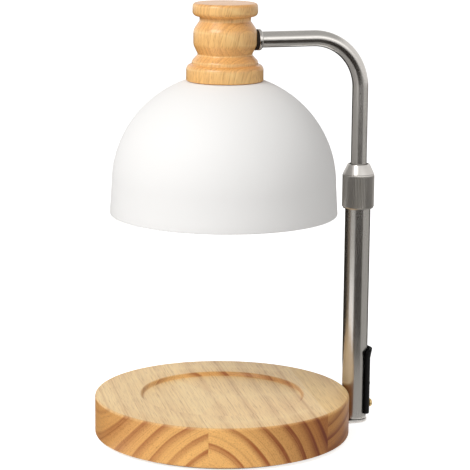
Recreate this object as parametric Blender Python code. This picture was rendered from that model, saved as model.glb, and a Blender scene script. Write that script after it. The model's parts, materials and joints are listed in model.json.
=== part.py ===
"""Candle warmer lamp: a heat lamp over a wooden base that carries a candle jar.

Metres, +Z up. The origin is the centre of the face that the lamp rests on. The
post stands on +X, and at rest the arm runs back from it over the base.
"""

import math

import bmesh
import bpy
from mathutils import Matrix, Vector

# Fits and cuts
FIT = 0.0003
OVERRUN = 0.002
WELD = 0.000001

# Smoothness of round shapes
FINE_SEGMENTS = 40
ROUND_SEGMENTS = 32
SMALL_SEGMENTS = 16
ARC_STEP = math.radians(45)
SHARP_ANGLE = math.radians(35)

# Mat under the base
MAT_INSET = 0.0055
MAT_THICKNESS = 0.0015

# Wooden base
BASE_RADIUS = 0.080
BASE_THICKNESS = 0.0248
BASE_ROUND = 0.0015
RECESS_RADIUS = 0.050
RECESS_DEPTH = 0.0025
RECESS_ROUND = 0.0010
BASE_BOTTOM = MAT_THICKNESS + FIT
BASE_TOP = BASE_BOTTOM + BASE_THICKNESS
MAT_RADIUS = BASE_RADIUS - MAT_INSET

# Steel strip that carries the post
STRIP_WIDTH = 0.017
STRIP_THICKNESS = 0.002
STRIP_REACH = 0.045
STRIP_TOP = BASE_BOTTOM + STRIP_THICKNESS
STRIP_SCREW_COUNT = 3
STRIP_SCREW_PITCH = 0.014
STRIP_SCREW_MARGIN = 0.008
STRIP_SCREW_HEAD = 0.0032
STRIP_SCREW_SHANK = 0.0016
STRIP_SCREW_LENGTH = 0.014
STRIP_SCREW_TIP = 0.003

# Post
POST_RADIUS = 0.008
POST_WALL = 0.0012
POST_LENGTH = 0.1496
POST_GAP = 0.0010
POST_BORE = POST_RADIUS - POST_WALL
POST_X = BASE_RADIUS + POST_GAP + POST_RADIUS
POST_BOTTOM = STRIP_TOP + FIT
POST_TOP = POST_BOTTOM + POST_LENGTH

# Screw and plug in the post's foot
PLUG_HEIGHT = 0.014
POST_SCREW_HEAD = 0.0046
POST_SCREW_SHANK = 0.0025
POST_SCREW_LENGTH = 0.0082
POST_SCREW_TIP = 0.0005

# Plate over the lead's outlet
COVER_BOTTOM = 0.0068
COVER_LENGTH = 0.0428
COVER_WALL = 0.0017
COVER_HALF_ANGLE = math.radians(58)
COVER_CORNER = 0.0055
COVER_LIP_LENGTH = 0.0065
COVER_LIP_FLARE = 0.0012
COVER_BORE = POST_RADIUS + FIT
COVER_FACE = COVER_BORE + COVER_WALL
COVER_TOP = COVER_BOTTOM + COVER_LENGTH

# Brass screw of the plate
COVER_SCREW_RISE = 0.0057
COVER_SCREW_HEAD = 0.0026
COVER_SCREW_HEAD_HEIGHT = 0.0018
COVER_SCREW_SHANK = 0.0013
COVER_SCREW_LENGTH = 0.008
COVER_SCREW_Z = COVER_BOTTOM + COVER_SCREW_RISE

# Lead and its outlet
LEAD_RADIUS = 0.0025
CORE_RADIUS = 0.0009
OUTLET_RISE = 0.008
OUTLET_Z = POST_BOTTOM + PLUG_HEIGHT + OUTLET_RISE
GROMMET_WALL = 0.0008
GROMMET_LIP = 0.0006
GROMMET_INSET = 0.0012
LEAD_BEND = 0.005
LEAD_BEND_STEPS = 5
CORE_BEND_SHARE = 0.8

# Arm
ARM_RADIUS = 0.005
ARM_WALL = 0.0008
ARM_HEIGHT = 0.2490
ARM_BEND = 0.0316
ARM_BEND_STEPS = 10
ARM_INSERTION = 0.0751
ARM_BOTTOM = POST_TOP - ARM_INSERTION
BUSH_HEIGHT = 0.010

# Threaded fitting in the post's top
SPIGOT_LENGTH = 0.012
FITTING_GAP = 0.0005
FITTING_BORE = ARM_RADIUS + FITTING_GAP
THREAD_RADIUS = 0.0075
THREAD_LENGTH = 0.0076
FITTING_FLOOR = 0.0015

# Split collet
COLLET_FOOT_WALL = 0.0005
COLLET_HEAD_WALL = 0.0010
COLLET_PROUD = 0.0009
COLLET_SLIT = 0.0012
COLLET_BORE = ARM_RADIUS + FIT

# Washer between the nut and the collet
THRUST_THICKNESS = 0.0008

# Clamp nut
NUT_RADIUS = 0.0101
NUT_SKIRT = 0.0126
NUT_KNURL_LENGTH = 0.0204
NUT_CHAMFER = 0.0010
NUT_NECK = 0.0006
NUT_CONE_HEIGHT = 0.006
NUT_TOP_RADIUS = 0.0068
NUT_HOLE_GAP = 0.0006
NUT_SKIRT_GAP = 0.00035
KNURL_COUNT = 28
KNURL_DEPTH = 0.0003

# Turned wooden cap, heights from its lower face
CAP_HOLE_HEIGHT = 0.0244
CAP_HEIGHT = 0.0474
CAP_COLLAR_RADIUS = 0.0237
CAP_COLLAR_ROUND = 0.0006
CAP_SHOULDER_HEIGHT = 0.0100
CAP_SHOULDER_ROUND = 0.0031
CAP_BEAD_RADIUS = 0.0203
CAP_BEAD_HEIGHT = 0.0121
CAP_BEAD_ROUND = 0.0021
CAP_LOWER_NECK_RADIUS = 0.0166
CAP_LOWER_NECK_HEIGHT = 0.0160
CAP_NECK_ROUND = 0.0013
CAP_BULGE_RADIUS = 0.0194
CAP_BULGE_LOW = 0.0218
CAP_BULGE_HIGH = 0.0311
CAP_BULGE_ROUND = 0.0067
CAP_UPPER_NECK_RADIUS = 0.0157
CAP_UPPER_NECK_LOW = 0.0364
CAP_UPPER_NECK_HIGH = 0.0393
CAP_DISC_RADIUS = 0.0200
CAP_DISC_LOWER_ROUND = 0.0028
CAP_DISC_UPPER_ROUND = 0.0021
CAP_BOTTOM = ARM_HEIGHT - CAP_HOLE_HEIGHT
CAVITY_RADIUS = 0.013
CAVITY_HEIGHT = 0.0335

# Arm's fixing at the cap
CAP_SEAT_X = 0.0184
WASHER_RADIUS = 0.0066
WASHER_THICKNESS = 0.0015
FLANGE_THICKNESS = 0.0025
FLANGE_ROUND = 0.0012
CAP_INNER_SEAT_X = 0.0149
INNER_WASHER_RADIUS = 0.0070
INNER_WASHER_THICKNESS = 0.0010
INNER_NUT_RADIUS = 0.0075
INNER_NUT_THICKNESS = 0.0044
ARM_END_PROUD = 0.0010
LEAD_END_PROUD = 0.0025

# Shade
SHADE_WALL = 0.0010
SHADE_NUT_GAP = 0.0084
SHADE_FLARE = 0.0012
SHADE_SEAT_RADIUS = 0.0249
SHADE_RIM_RADIUS = POST_X - NUT_RADIUS - SHADE_NUT_GAP
SHADE_DOME_RADIUS = SHADE_RIM_RADIUS - SHADE_FLARE
SHADE_DOME_HEIGHT = 0.0676
SHADE_SKIRT = 0.0190
SHADE_DOME_STEPS = 9
SHADE_SKIRT_STEPS = 1
SHADE_SEAT = CAP_BOTTOM - FIT

# Lampholder
HOLDER_RADIUS = 0.0132
HOLDER_DROP = 0.0081
HOLDER_FLANGE_RADIUS = 0.0157
HOLDER_FLANGE_THICKNESS = 0.0020
HOLDER_TOP_RADIUS = 0.0125
HOLDER_TOP_HEIGHT = 0.0079
HOLDER_ROUND = 0.0008
HOLDER_OPENING_GAP = 0.0013
HOLDER_BOTTOM = CAP_BOTTOM - HOLDER_DROP
HOLDER_TOP = CAP_BOTTOM + HOLDER_FLANGE_THICKNESS + HOLDER_TOP_HEIGHT
CONTACT_WIDTH = 0.004
CONTACT_THICKNESS = 0.0016
CONTACT_HEIGHT = 0.004

# Plate and screws that hold the shade to the cap
PLATE_RADIUS = 0.023
PLATE_THICKNESS = 0.0010
SHADE_SCREW_COUNT = 3
SHADE_SCREW_CIRCLE = 0.0198
SHADE_SCREW_TURN = math.radians(40)
SHADE_SCREW_HEAD = 0.0028
SHADE_SCREW_HEAD_HEIGHT = 0.0016
SHADE_SCREW_SHANK = 0.0014
SHADE_SCREW_LENGTH = 0.009
PLATE_TOP = SHADE_SEAT - SHADE_WALL - FIT
PLATE_BOTTOM = PLATE_TOP - PLATE_THICKNESS
SHADE_SCREW_Z = PLATE_BOTTOM - FIT - SHADE_SCREW_HEAD_HEIGHT

# Bulb
BULB_RADIUS = 0.025
BULB_WALL = 0.0010
BULB_RIM_HEIGHT = 0.0030
BULB_BOWL_HEIGHT = 0.0360
BULB_NECK_RADIUS = 0.0087
BULB_BOWL_STEPS = 4
BULB_BASE_RADIUS = 0.0086
BULB_BASE_HEIGHT = 0.0084
BULB_BASE_ROUND = 0.0010
LENS_THICKNESS = 0.0015
LENS_INSET = 0.0005
CAPSULE_RADIUS = 0.0042
CAPSULE_LENGTH = 0.013
CAPSULE_TIP_ROUND = 0.0034
CAPSULE_SHOULDER_ROUND = 0.0010
CAPSULE_STEM_RADIUS = 0.0020
CAPSULE_STEM_LENGTH = 0.010
PIN_SPACING = 0.010
PIN_NECK_RADIUS = 0.0015
PIN_NECK_LENGTH = 0.0020
PIN_HEAD_RADIUS = 0.0025
PIN_HEAD_LENGTH = 0.0033
PIN_TWIST = math.radians(20)
BULB_BASE_TOP = HOLDER_BOTTOM - FIT
BULB_BASE_BOTTOM = BULB_BASE_TOP - BULB_BASE_HEIGHT
BULB_NECK_Z = BULB_BASE_BOTTOM - FIT
BULB_RIM_Z = BULB_NECK_Z - BULB_BOWL_HEIGHT - BULB_RIM_HEIGHT
SLOT_DEPTH = FIT + PIN_NECK_LENGTH + PIN_HEAD_LENGTH + FIT

# Turns that lay a piece's own +Z along the lamp's X
TURN_TO_X = (math.pi / 2, 0, math.pi / 2)
TURN_TO_MINUS_X = (math.pi / 2, 0, -math.pi / 2)


def clear_scene():
    """Remove every object that the file opened with."""
    for item in list(bpy.data.objects):
        bpy.data.objects.remove(item, do_unlink=True)


def make_finish(name, colour, roughness, metallic=0.0):
    """Principled material of one colour."""
    finish = bpy.data.materials.new(name)
    finish.use_nodes = True
    shader = finish.node_tree.nodes["Principled BSDF"]
    shader.inputs["Base Color"].default_value = (*colour, 1.0)
    shader.inputs["Roughness"].default_value = roughness
    shader.inputs["Metallic"].default_value = metallic
    finish.diffuse_color = (*colour, 1.0)
    return finish


def make_finishes():
    """All finishes of the lamp by name."""
    return {
        "wood": make_finish("wood", (0.74, 0.45, 0.20), 0.55),
        "white_paint": make_finish("white_paint", (0.86, 0.84, 0.81), 0.45),
        "brushed_steel": make_finish("brushed_steel", (0.46, 0.44, 0.42), 0.38, 1.0),
        "zinc_steel": make_finish("zinc_steel", (0.55, 0.55, 0.54), 0.45, 1.0),
        "brass": make_finish("brass", (0.72, 0.52, 0.22), 0.30, 1.0),
        "black_plastic": make_finish("black_plastic", (0.012, 0.012, 0.012), 0.45),
        "rubber": make_finish("rubber", (0.03, 0.02, 0.018), 0.80),
        "nylon": make_finish("nylon", (0.75, 0.74, 0.70), 0.50),
        "ceramic": make_finish("ceramic", (0.85, 0.83, 0.78), 0.40),
        "lamp_glass": make_finish("lamp_glass", (0.88, 0.90, 0.92), 0.08),
        "copper": make_finish("copper", (0.70, 0.32, 0.18), 0.35, 1.0),
    }


# Outlines

def corner_arc(before, corner, after, radius):
    """Points of the arc that rounds one corner of an outline."""
    corner = Vector(corner)
    back = (Vector(before) - corner).normalized()
    ahead = (Vector(after) - corner).normalized()
    half_angle = back.angle(ahead) / 2
    centre = corner + (back + ahead).normalized() * radius / math.sin(half_angle)
    start = corner + back * radius / math.tan(half_angle) - centre
    sweep = math.pi - 2 * half_angle
    steps = max(2, math.ceil(sweep / ARC_STEP))
    side = -1 if back.x * ahead.y - back.y * ahead.x > 0 else 1
    turns = (Matrix.Rotation(side * sweep * step / steps, 2) for step in range(steps + 1))
    return [tuple(centre + turn @ start) for turn in turns]


def rounded(corners):
    """Outline through (across, along) corners; a third value rounds a corner by that radius."""
    outline = []
    for index, corner in enumerate(corners):
        if len(corner) == 2:
            outline.append(corner)
            continue
        before = corners[index - 1][:2]
        after = corners[(index + 1) % len(corners)][:2]
        outline += corner_arc(before, corner[:2], after, corner[2])
    return outline


def tube_outline(bore, radius, bottom, top):
    """Section of a plain ring or tube."""
    return [(bore, bottom), (radius, bottom), (radius, top), (bore, top)]


def rod_outline(radius, bottom, top):
    """Section of a plain rod."""
    return [(0, bottom), (radius, bottom), (radius, top), (0, top)]


def countersunk_outline(head, shank, length, tip, gap=0):
    """Section of a countersunk screw that points up, or of its hole with a gap."""
    slope = head - shank
    return [
        (0, -OVERRUN if gap else 0),
        (head + gap, -OVERRUN if gap else 0),
        (head + gap, 0),
        (shank + gap, slope),
        (shank + gap, length - tip + gap),
        (0, length + gap),
    ]


def pan_screw_outline(head, head_height, shank, length):
    """Section of a pan-head screw, head down, that points up."""
    return rounded([
        (0, 0),
        (head, 0, head_height / 2),
        (head, head_height),
        (shank, head_height),
        (shank, head_height + length),
        (0, head_height + length),
    ])


def slot_outline(start, end, radius):
    """Outline of a bar along X with round ends, drawn round its two end centres."""
    outline = []
    for centre, first in ((end, -math.pi / 2), (start, math.pi / 2)):
        for step in range(SMALL_SEGMENTS // 2 + 1):
            angle = first + 2 * math.pi * step / SMALL_SEGMENTS
            outline.append((centre + radius * math.cos(angle), radius * math.sin(angle)))
    return outline


def kidney_outline(circle, half_width, start, end):
    """Outline of a slot that follows a circle from one angle to another."""
    def turned(radius, angle):
        return (radius * math.cos(angle), radius * math.sin(angle))

    def cap(angle, first):
        centre = Vector(turned(circle, angle))
        steps = SMALL_SEGMENTS // 4
        angles = (first + math.pi * step / steps for step in range(1, steps))
        return [tuple(centre + Vector(turned(half_width, item))) for item in angles]

    steps = SMALL_SEGMENTS // 4
    sweep = [start + (end - start) * step / steps for step in range(steps + 1)]
    outer = [turned(circle + half_width, angle) for angle in sweep]
    inner = [turned(circle - half_width, angle) for angle in reversed(sweep)]
    return outer + cap(end, end) + inner + cap(start, start + math.pi)


# Meshes and objects

def finish_mesh(shape, name):
    """Turn a bmesh into a mesh, with closed shapes facing out and round faces smooth."""
    bmesh.ops.remove_doubles(shape, verts=shape.verts, dist=WELD)
    bmesh.ops.recalc_face_normals(shape, faces=shape.faces)
    mesh = bpy.data.meshes.new(name)
    shape.to_mesh(mesh)
    shape.free()
    mesh.shade_smooth()
    mesh.set_sharp_from_angle(angle=SHARP_ANGLE)
    return mesh


def turned_shape(outline, segments):
    """Spin a section of (radius, height) points round +Z."""
    shape = bmesh.new()
    points = [shape.verts.new((radius, 0, height)) for radius, height in outline]
    edges = [shape.edges.new(pair) for pair in zip(points, points[1:])]
    if outline[0][0] or outline[-1][0]:
        edges.append(shape.edges.new((points[-1], points[0])))
    bmesh.ops.spin(shape, geom=points + edges, cent=(0, 0, 0), axis=(0, 0, 1),
                   angle=2 * math.pi, steps=segments)
    return shape


def turned_mesh(name, outline, segments=SMALL_SEGMENTS):
    """Turned solid of a section."""
    return finish_mesh(turned_shape(outline, segments), name)


def cutter_mesh(name, outline):
    """Turned cutter, turned half a facet so that its edges miss those of what it cuts."""
    shape = turned_shape(outline, SMALL_SEGMENTS)
    half_facet = Matrix.Rotation(math.pi / SMALL_SEGMENTS, 3, "Z")
    bmesh.ops.rotate(shape, verts=shape.verts, cent=(0, 0, 0), matrix=half_facet)
    return finish_mesh(shape, name)


def shell_outline(profile, wall):
    """Section of a sheet: the outer profile, and back along it one wall further in."""
    inner = []
    for index, point in enumerate(profile):
        before = Vector(profile[max(index - 1, 0)])
        after = Vector(profile[min(index + 1, len(profile) - 1)])
        along = (after - before).normalized()
        inner.append((point[0] + along.y * wall, point[1] - along.x * wall))
    return profile + inner[::-1]


def prism_mesh(name, outline, bottom, top):
    """Flat outline drawn up along Z."""
    shape = bmesh.new()
    face = shape.faces.new([shape.verts.new((across, along, bottom)) for across, along in outline])
    drawn = bmesh.ops.extrude_face_region(shape, geom=[face])
    lifted = [item for item in drawn["geom"] if isinstance(item, bmesh.types.BMVert)]
    bmesh.ops.translate(shape, verts=lifted, vec=(0, 0, top - bottom))
    return finish_mesh(shape, name)


def box_mesh(name, size):
    """Box about its own centre."""
    shape = bmesh.new()
    bmesh.ops.create_cube(shape, size=1)
    bmesh.ops.scale(shape, verts=shape.verts, vec=size)
    return finish_mesh(shape, name)


def swept_tube_mesh(name, path, radius, bore):
    """Hollow tube along a path in the XZ plane."""
    shape = bmesh.new()
    rings = []
    for index, point in enumerate(path):
        before = path[max(index - 1, 0)]
        after = path[min(index + 1, len(path) - 1)]
        along = (after - before).normalized()
        across = Vector((0, 1, 0)).cross(along)
        ring = []
        for size in (radius, bore):
            for step in range(SMALL_SEGMENTS):
                angle = 2 * math.pi * step / SMALL_SEGMENTS
                offset = across * math.cos(angle) + Vector((0, 1, 0)) * math.sin(angle)
                ring.append(shape.verts.new(point + offset * size))
        rings.append(ring)
    for step in range(SMALL_SEGMENTS):
        following = (step + 1) % SMALL_SEGMENTS
        for low, high in zip(rings, rings[1:]):
            for start in (0, SMALL_SEGMENTS):
                one, two = start + step, start + following
                shape.faces.new((low[one], low[two], high[two], high[one]))
        for end in (rings[0], rings[-1]):
            inner_one, inner_two = SMALL_SEGMENTS + step, SMALL_SEGMENTS + following
            shape.faces.new((end[step], end[following], end[inner_two], end[inner_one]))
    return finish_mesh(shape, name)


def attach(part, carrier):
    """Parent a piece to what carries it, and leave it where it is."""
    part.parent = carrier
    part.matrix_parent_inverse = Matrix.Translation(-carrier.location)


def add_axis(name, place, carrier=None):
    """Empty on a joint's axis that carries the pieces which move with it."""
    axis = bpy.data.objects.new(name, None)
    axis.location = place
    axis.empty_display_size = POST_RADIUS
    bpy.context.scene.collection.objects.link(axis)
    if carrier:
        attach(axis, carrier)
    return axis


def add_part(name, data, finish, place=(0, 0, 0), turn=(0, 0, 0), carrier=None):
    """Named piece with its own finish, at its place."""
    data.materials.append(finish)
    part = bpy.data.objects.new(name, data)
    part.location = place
    part.rotation_euler = turn
    bpy.context.scene.collection.objects.link(part)
    if carrier:
        attach(part, carrier)
    return part


def cut(part, mesh, place=(0, 0, 0), turn=(0, 0, 0), operation="DIFFERENCE"):
    """Cut a piece with a hidden solid, or keep only what lies inside it."""
    cutter = bpy.data.objects.new(mesh.name, mesh)
    cutter.location = place
    cutter.rotation_euler = turn
    cutter.hide_render = True
    cutter.display_type = "WIRE"
    bpy.context.scene.collection.objects.link(cutter)
    if part.parent:
        attach(cutter, part.parent)
    boolean = part.modifiers.new(mesh.name, "BOOLEAN")
    boolean.object = cutter
    boolean.operation = operation
    boolean.solver = "EXACT"


def cable(name, points, radius):
    """Round cable through a list of points."""
    line = bpy.data.curves.new(name, "CURVE")
    line.dimensions = "3D"
    line.bevel_depth = radius
    line.bevel_resolution = 2
    line.use_fill_caps = True
    spline = line.splines.new("POLY")
    spline.points.add(len(points) - 1)
    for target, point in zip(spline.points, points):
        target.co = (*point, 1.0)
    return line


def quarter_turn(centre, start, end, radius, steps):
    """Points of a round bend in the XZ plane between two angles."""
    points = []
    for step in range(steps + 1):
        angle = start + (end - start) * step / steps
        across = centre[0] + radius * math.cos(angle)
        points.append(Vector((across, 0, centre[1] + radius * math.sin(angle))))
    return points


# Stand

def strip_screw_places():
    """Places of the wood screws along the strip, from its inner end."""
    first = BASE_RADIUS - STRIP_REACH + STRIP_SCREW_MARGIN
    return [first + STRIP_SCREW_PITCH * index for index in range(STRIP_SCREW_COUNT)]


def add_mat(finishes):
    """Non-slip mat that the lamp rests on."""
    outline = rod_outline(MAT_RADIUS, 0, MAT_THICKNESS)
    add_part("nonslip_mat", turned_mesh("nonslip_mat", outline, FINE_SEGMENTS), finishes["rubber"])


def add_base(finishes):
    """Wooden disc with a recess for the jar and a groove for the strip."""
    outline = rounded([
        (0, BASE_BOTTOM),
        (BASE_RADIUS, BASE_BOTTOM, BASE_ROUND),
        (BASE_RADIUS, BASE_TOP, BASE_ROUND),
        (RECESS_RADIUS + RECESS_ROUND, BASE_TOP, RECESS_ROUND),
        (RECESS_RADIUS, BASE_TOP - RECESS_DEPTH, RECESS_ROUND),
        (0, BASE_TOP - RECESS_DEPTH),
    ])
    base = add_part("wood_base", turned_mesh("wood_base", outline, FINE_SEGMENTS), finishes["wood"])
    centre = BASE_RADIUS - STRIP_REACH + STRIP_WIDTH / 2
    groove = slot_outline(centre, BASE_RADIUS + STRIP_WIDTH, STRIP_WIDTH / 2 + FIT)
    cut(base, prism_mesh("strip_groove", groove, BASE_BOTTOM - OVERRUN, STRIP_TOP + FIT))
    hole = countersunk_outline(STRIP_SCREW_HEAD, STRIP_SCREW_SHANK, STRIP_SCREW_LENGTH, STRIP_SCREW_TIP, FIT)
    for index, place in enumerate(strip_screw_places(), 1):
        cut(base, cutter_mesh(f"base_pilot_{index}", hole), (place, 0, BASE_BOTTOM))


def add_strip(finishes):
    """Steel strip with its screws, in the groove under the base."""
    centre = BASE_RADIUS - STRIP_REACH + STRIP_WIDTH / 2
    outline = slot_outline(centre, POST_X, STRIP_WIDTH / 2)
    strip = add_part("foot_strip", prism_mesh("foot_strip", outline, BASE_BOTTOM, STRIP_TOP),
                     finishes["brushed_steel"])
    sizes = (STRIP_SCREW_HEAD, STRIP_SCREW_SHANK, STRIP_SCREW_LENGTH, STRIP_SCREW_TIP)
    for index, place in enumerate(strip_screw_places(), 1):
        spot = (place, 0, BASE_BOTTOM)
        cut(strip, cutter_mesh(f"strip_hole_{index}", countersunk_outline(*sizes, FIT)), spot)
        name = f"strip_screw_{index}"
        add_part(name, turned_mesh(name, countersunk_outline(*sizes)), finishes["zinc_steel"], spot)
    sizes = (POST_SCREW_HEAD, POST_SCREW_SHANK, POST_SCREW_LENGTH, POST_SCREW_TIP)
    spot = (POST_X, 0, BASE_BOTTOM)
    cut(strip, cutter_mesh("post_screw_hole", countersunk_outline(*sizes, FIT)), spot)
    add_part("post_screw", turned_mesh("post_screw", countersunk_outline(*sizes)),
             finishes["zinc_steel"], spot)


def cover_screw_hole(name):
    """Solid that clears the brass screw, from the post's axis out past the plate."""
    outline = rod_outline(COVER_SCREW_SHANK + FIT, 0, COVER_FACE + OVERRUN)
    return cutter_mesh(name, outline)


def add_post(finishes):
    """Post tube with the plug in its foot."""
    outline = tube_outline(POST_BORE, POST_RADIUS, POST_BOTTOM, POST_TOP)
    post = add_part("post_tube", turned_mesh("post_tube", outline, ROUND_SEGMENTS),
                    finishes["brushed_steel"], (POST_X, 0, 0))
    cut(post, cover_screw_hole("post_screw_window"), (POST_X, 0, COVER_SCREW_Z), TURN_TO_X)
    hole = rod_outline(LEAD_RADIUS + FIT + GROMMET_WALL + FIT, 0, POST_RADIUS + OVERRUN)
    cut(post, cutter_mesh("post_lead_window", hole), (POST_X, 0, OUTLET_Z), TURN_TO_X)
    outline = rod_outline(POST_BORE - FIT, POST_BOTTOM, POST_BOTTOM + PLUG_HEIGHT)
    plug = add_part("post_plug", turned_mesh("post_plug", outline, ROUND_SEGMENTS),
                    finishes["zinc_steel"], (POST_X, 0, 0))
    hole = countersunk_outline(POST_SCREW_HEAD, POST_SCREW_SHANK, POST_SCREW_LENGTH, POST_SCREW_TIP, FIT)
    cut(plug, cutter_mesh("plug_screw_hole", hole), (POST_X, 0, BASE_BOTTOM))
    cut(plug, cover_screw_hole("plug_side_hole"), (POST_X, 0, COVER_SCREW_Z), TURN_TO_X)


def add_cover(finishes):
    """Moulded plate that wraps the post's outer side, with its screw and the lead's grommet."""
    lip = COVER_TOP - COVER_LIP_LENGTH
    outline = [
        (COVER_BORE, COVER_BOTTOM),
        (COVER_FACE, COVER_BOTTOM),
        (COVER_FACE, lip),
        (COVER_FACE + COVER_LIP_FLARE, COVER_TOP),
        (COVER_BORE + COVER_LIP_FLARE, COVER_TOP),
        (COVER_BORE, lip),
    ]
    cover = add_part("cord_cover", turned_mesh("cord_cover", outline, ROUND_SEGMENTS),
                     finishes["black_plastic"], (POST_X, 0, 0))
    side = COVER_FACE + COVER_LIP_FLARE
    tongue = rounded([
        (-side, COVER_BOTTOM, COVER_CORNER),
        (side, COVER_BOTTOM, COVER_CORNER),
        (side, COVER_TOP, COVER_CORNER),
        (-side, COVER_TOP, COVER_CORNER),
    ])
    edge = COVER_BORE * math.cos(COVER_HALF_ANGLE)
    keeper = prism_mesh("cover_tongue", tongue, edge, side + OVERRUN)
    cut(cover, keeper, (POST_X, 0, 0), TURN_TO_X, "INTERSECT")
    cut(cover, cover_screw_hole("cover_screw_hole"), (POST_X, 0, COVER_SCREW_Z), TURN_TO_X)
    bore = LEAD_RADIUS + FIT
    neck = bore + GROMMET_WALL
    lip = neck + GROMMET_LIP
    hole = rod_outline(lip + FIT, 0, COVER_FACE + OVERRUN)
    cut(cover, cutter_mesh("cover_lead_hole", hole), (POST_X, 0, OUTLET_Z), TURN_TO_X)
    outline = [
        (bore, POST_BORE - GROMMET_INSET),
        (neck, POST_BORE - GROMMET_INSET),
        (neck, COVER_BORE),
        (lip, COVER_BORE),
        (lip, COVER_FACE),
        (bore, COVER_FACE),
    ]
    add_part("cord_grommet", turned_mesh("cord_grommet", outline), finishes["rubber"],
             (POST_X, 0, OUTLET_Z), TURN_TO_X)
    outline = pan_screw_outline(COVER_SCREW_HEAD, COVER_SCREW_HEAD_HEIGHT,
                                COVER_SCREW_SHANK, COVER_SCREW_LENGTH)
    head_face = POST_X + COVER_FACE + FIT + COVER_SCREW_HEAD_HEIGHT
    add_part("cover_screw", turned_mesh("cover_screw", outline), finishes["brass"],
             (head_face, 0, COVER_SCREW_Z), TURN_TO_MINUS_X)


def add_post_lead(finishes):
    """Lead from the outlet up inside the post to the arm's lower end."""
    points = [Vector((POST_X + COVER_FACE, 0, OUTLET_Z))]
    bend_centre = (POST_X + LEAD_BEND, OUTLET_Z + LEAD_BEND)
    points += quarter_turn(bend_centre, -math.pi / 2, -math.pi, LEAD_BEND, LEAD_BEND_STEPS)
    points.append(Vector((POST_X, 0, ARM_BOTTOM - FIT)))
    add_part("post_lead", cable("post_lead", points, LEAD_RADIUS), finishes["black_plastic"])


def add_fitting(finishes):
    """Threaded fitting in the post's top, coned inside for the collet."""
    floor = POST_TOP + FITTING_FLOOR
    top = POST_TOP + FIT + THREAD_LENGTH
    outline = [
        (FITTING_BORE, POST_TOP - SPIGOT_LENGTH),
        (POST_BORE - FIT, POST_TOP - SPIGOT_LENGTH),
        (POST_BORE - FIT, POST_TOP + FIT),
        (THREAD_RADIUS, POST_TOP + FIT),
        (THREAD_RADIUS, top),
        (COLLET_BORE + COLLET_HEAD_WALL + FIT, top),
        (COLLET_BORE + COLLET_FOOT_WALL + FIT, floor),
        (FITTING_BORE, floor),
    ]
    add_part("post_fitting", turned_mesh("post_fitting", outline, ROUND_SEGMENTS), finishes["brass"],
             (POST_X, 0, 0))


# Clamp

def add_collet(finishes, carrier):
    """Split collet that the nut presses into the fitting's cone."""
    bottom = POST_TOP + FITTING_FLOOR + FIT
    cone_top = POST_TOP + FIT + THREAD_LENGTH
    outline = [
        (COLLET_BORE, bottom - carrier.location.z),
        (COLLET_BORE + COLLET_FOOT_WALL, bottom - carrier.location.z),
        (COLLET_BORE + COLLET_HEAD_WALL, cone_top - carrier.location.z),
        (COLLET_BORE + COLLET_HEAD_WALL, cone_top + COLLET_PROUD - carrier.location.z),
        (COLLET_BORE, cone_top + COLLET_PROUD - carrier.location.z),
    ]
    collet = add_part("clamp_collet", turned_mesh("clamp_collet", outline, ROUND_SEGMENTS), finishes["nylon"],
                      carrier.location, carrier=carrier)
    height = THREAD_LENGTH + COLLET_PROUD
    slit = box_mesh("collet_slit", (COLLET_SLIT, THREAD_RADIUS, 2 * height))
    cut(collet, slit, (POST_X, THREAD_RADIUS / 2, cone_top))


def thrust_bottom():
    """Height of the washer's lower face."""
    return POST_TOP + FIT + THREAD_LENGTH + COLLET_PROUD + FIT


def add_thrust_washer(finishes, carrier):
    """Washer that passes the nut's push to the collet."""
    outline = tube_outline(COLLET_BORE, THREAD_RADIUS, 0, THRUST_THICKNESS)
    add_part("thrust_washer", turned_mesh("thrust_washer", outline, ROUND_SEGMENTS), finishes["zinc_steel"],
             (POST_X, 0, thrust_bottom()), carrier=carrier)


def knurl(mesh, bottom, top):
    """Sink every second edge of a turned piece's widest band, as a straight knurl."""
    step = math.pi / KNURL_COUNT
    for vertex in mesh.vertices:
        radius = math.hypot(vertex.co.x, vertex.co.y)
        index = round(math.atan2(vertex.co.y, vertex.co.x) / step)
        in_band = bottom - WELD < vertex.co.z < top + WELD
        if index % 2 and in_band and radius > NUT_RADIUS - KNURL_DEPTH:
            vertex.co.x *= 1 - KNURL_DEPTH / radius
            vertex.co.y *= 1 - KNURL_DEPTH / radius


def add_nut(finishes, carrier):
    """Knurled nut with a smooth cone, which closes the collet."""
    bottom = POST_TOP - NUT_SKIRT
    knurl_bottom = bottom + NUT_CHAMFER
    knurl_top = knurl_bottom + NUT_KNURL_LENGTH
    cone_bottom = knurl_top + NUT_NECK
    cone_top = cone_bottom + NUT_CONE_HEIGHT
    shelf = thrust_bottom() + THRUST_THICKNESS + FIT
    hole = ARM_RADIUS + NUT_HOLE_GAP
    skirt_bore = POST_RADIUS + NUT_SKIRT_GAP
    root = NUT_RADIUS - KNURL_DEPTH
    outline = [
        (skirt_bore, bottom),
        (NUT_RADIUS - NUT_CHAMFER, bottom),
        (NUT_RADIUS, knurl_bottom),
        (NUT_RADIUS, knurl_top),
        (root, cone_bottom),
        (NUT_TOP_RADIUS, cone_top),
        (hole, cone_top),
        (hole, shelf),
        (THREAD_RADIUS + FIT, shelf),
        (THREAD_RADIUS + FIT, POST_TOP + FIT),
        (skirt_bore, POST_TOP + FIT),
    ]
    outline = [(radius, height - carrier.location.z) for radius, height in outline]
    mesh = turned_mesh("clamp_nut", outline, 2 * KNURL_COUNT)
    knurl(mesh, knurl_bottom - carrier.location.z, knurl_top - carrier.location.z)
    add_part("clamp_nut", mesh, finishes["brushed_steel"], carrier.location, carrier=carrier)


# Arm

def arm_end():
    """Place along X of the arm tube's threaded end, inside the cap."""
    nut_face = CAP_INNER_SEAT_X - FIT - INNER_WASHER_THICKNESS - FIT - INNER_NUT_THICKNESS
    return nut_face - ARM_END_PROUD


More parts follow.
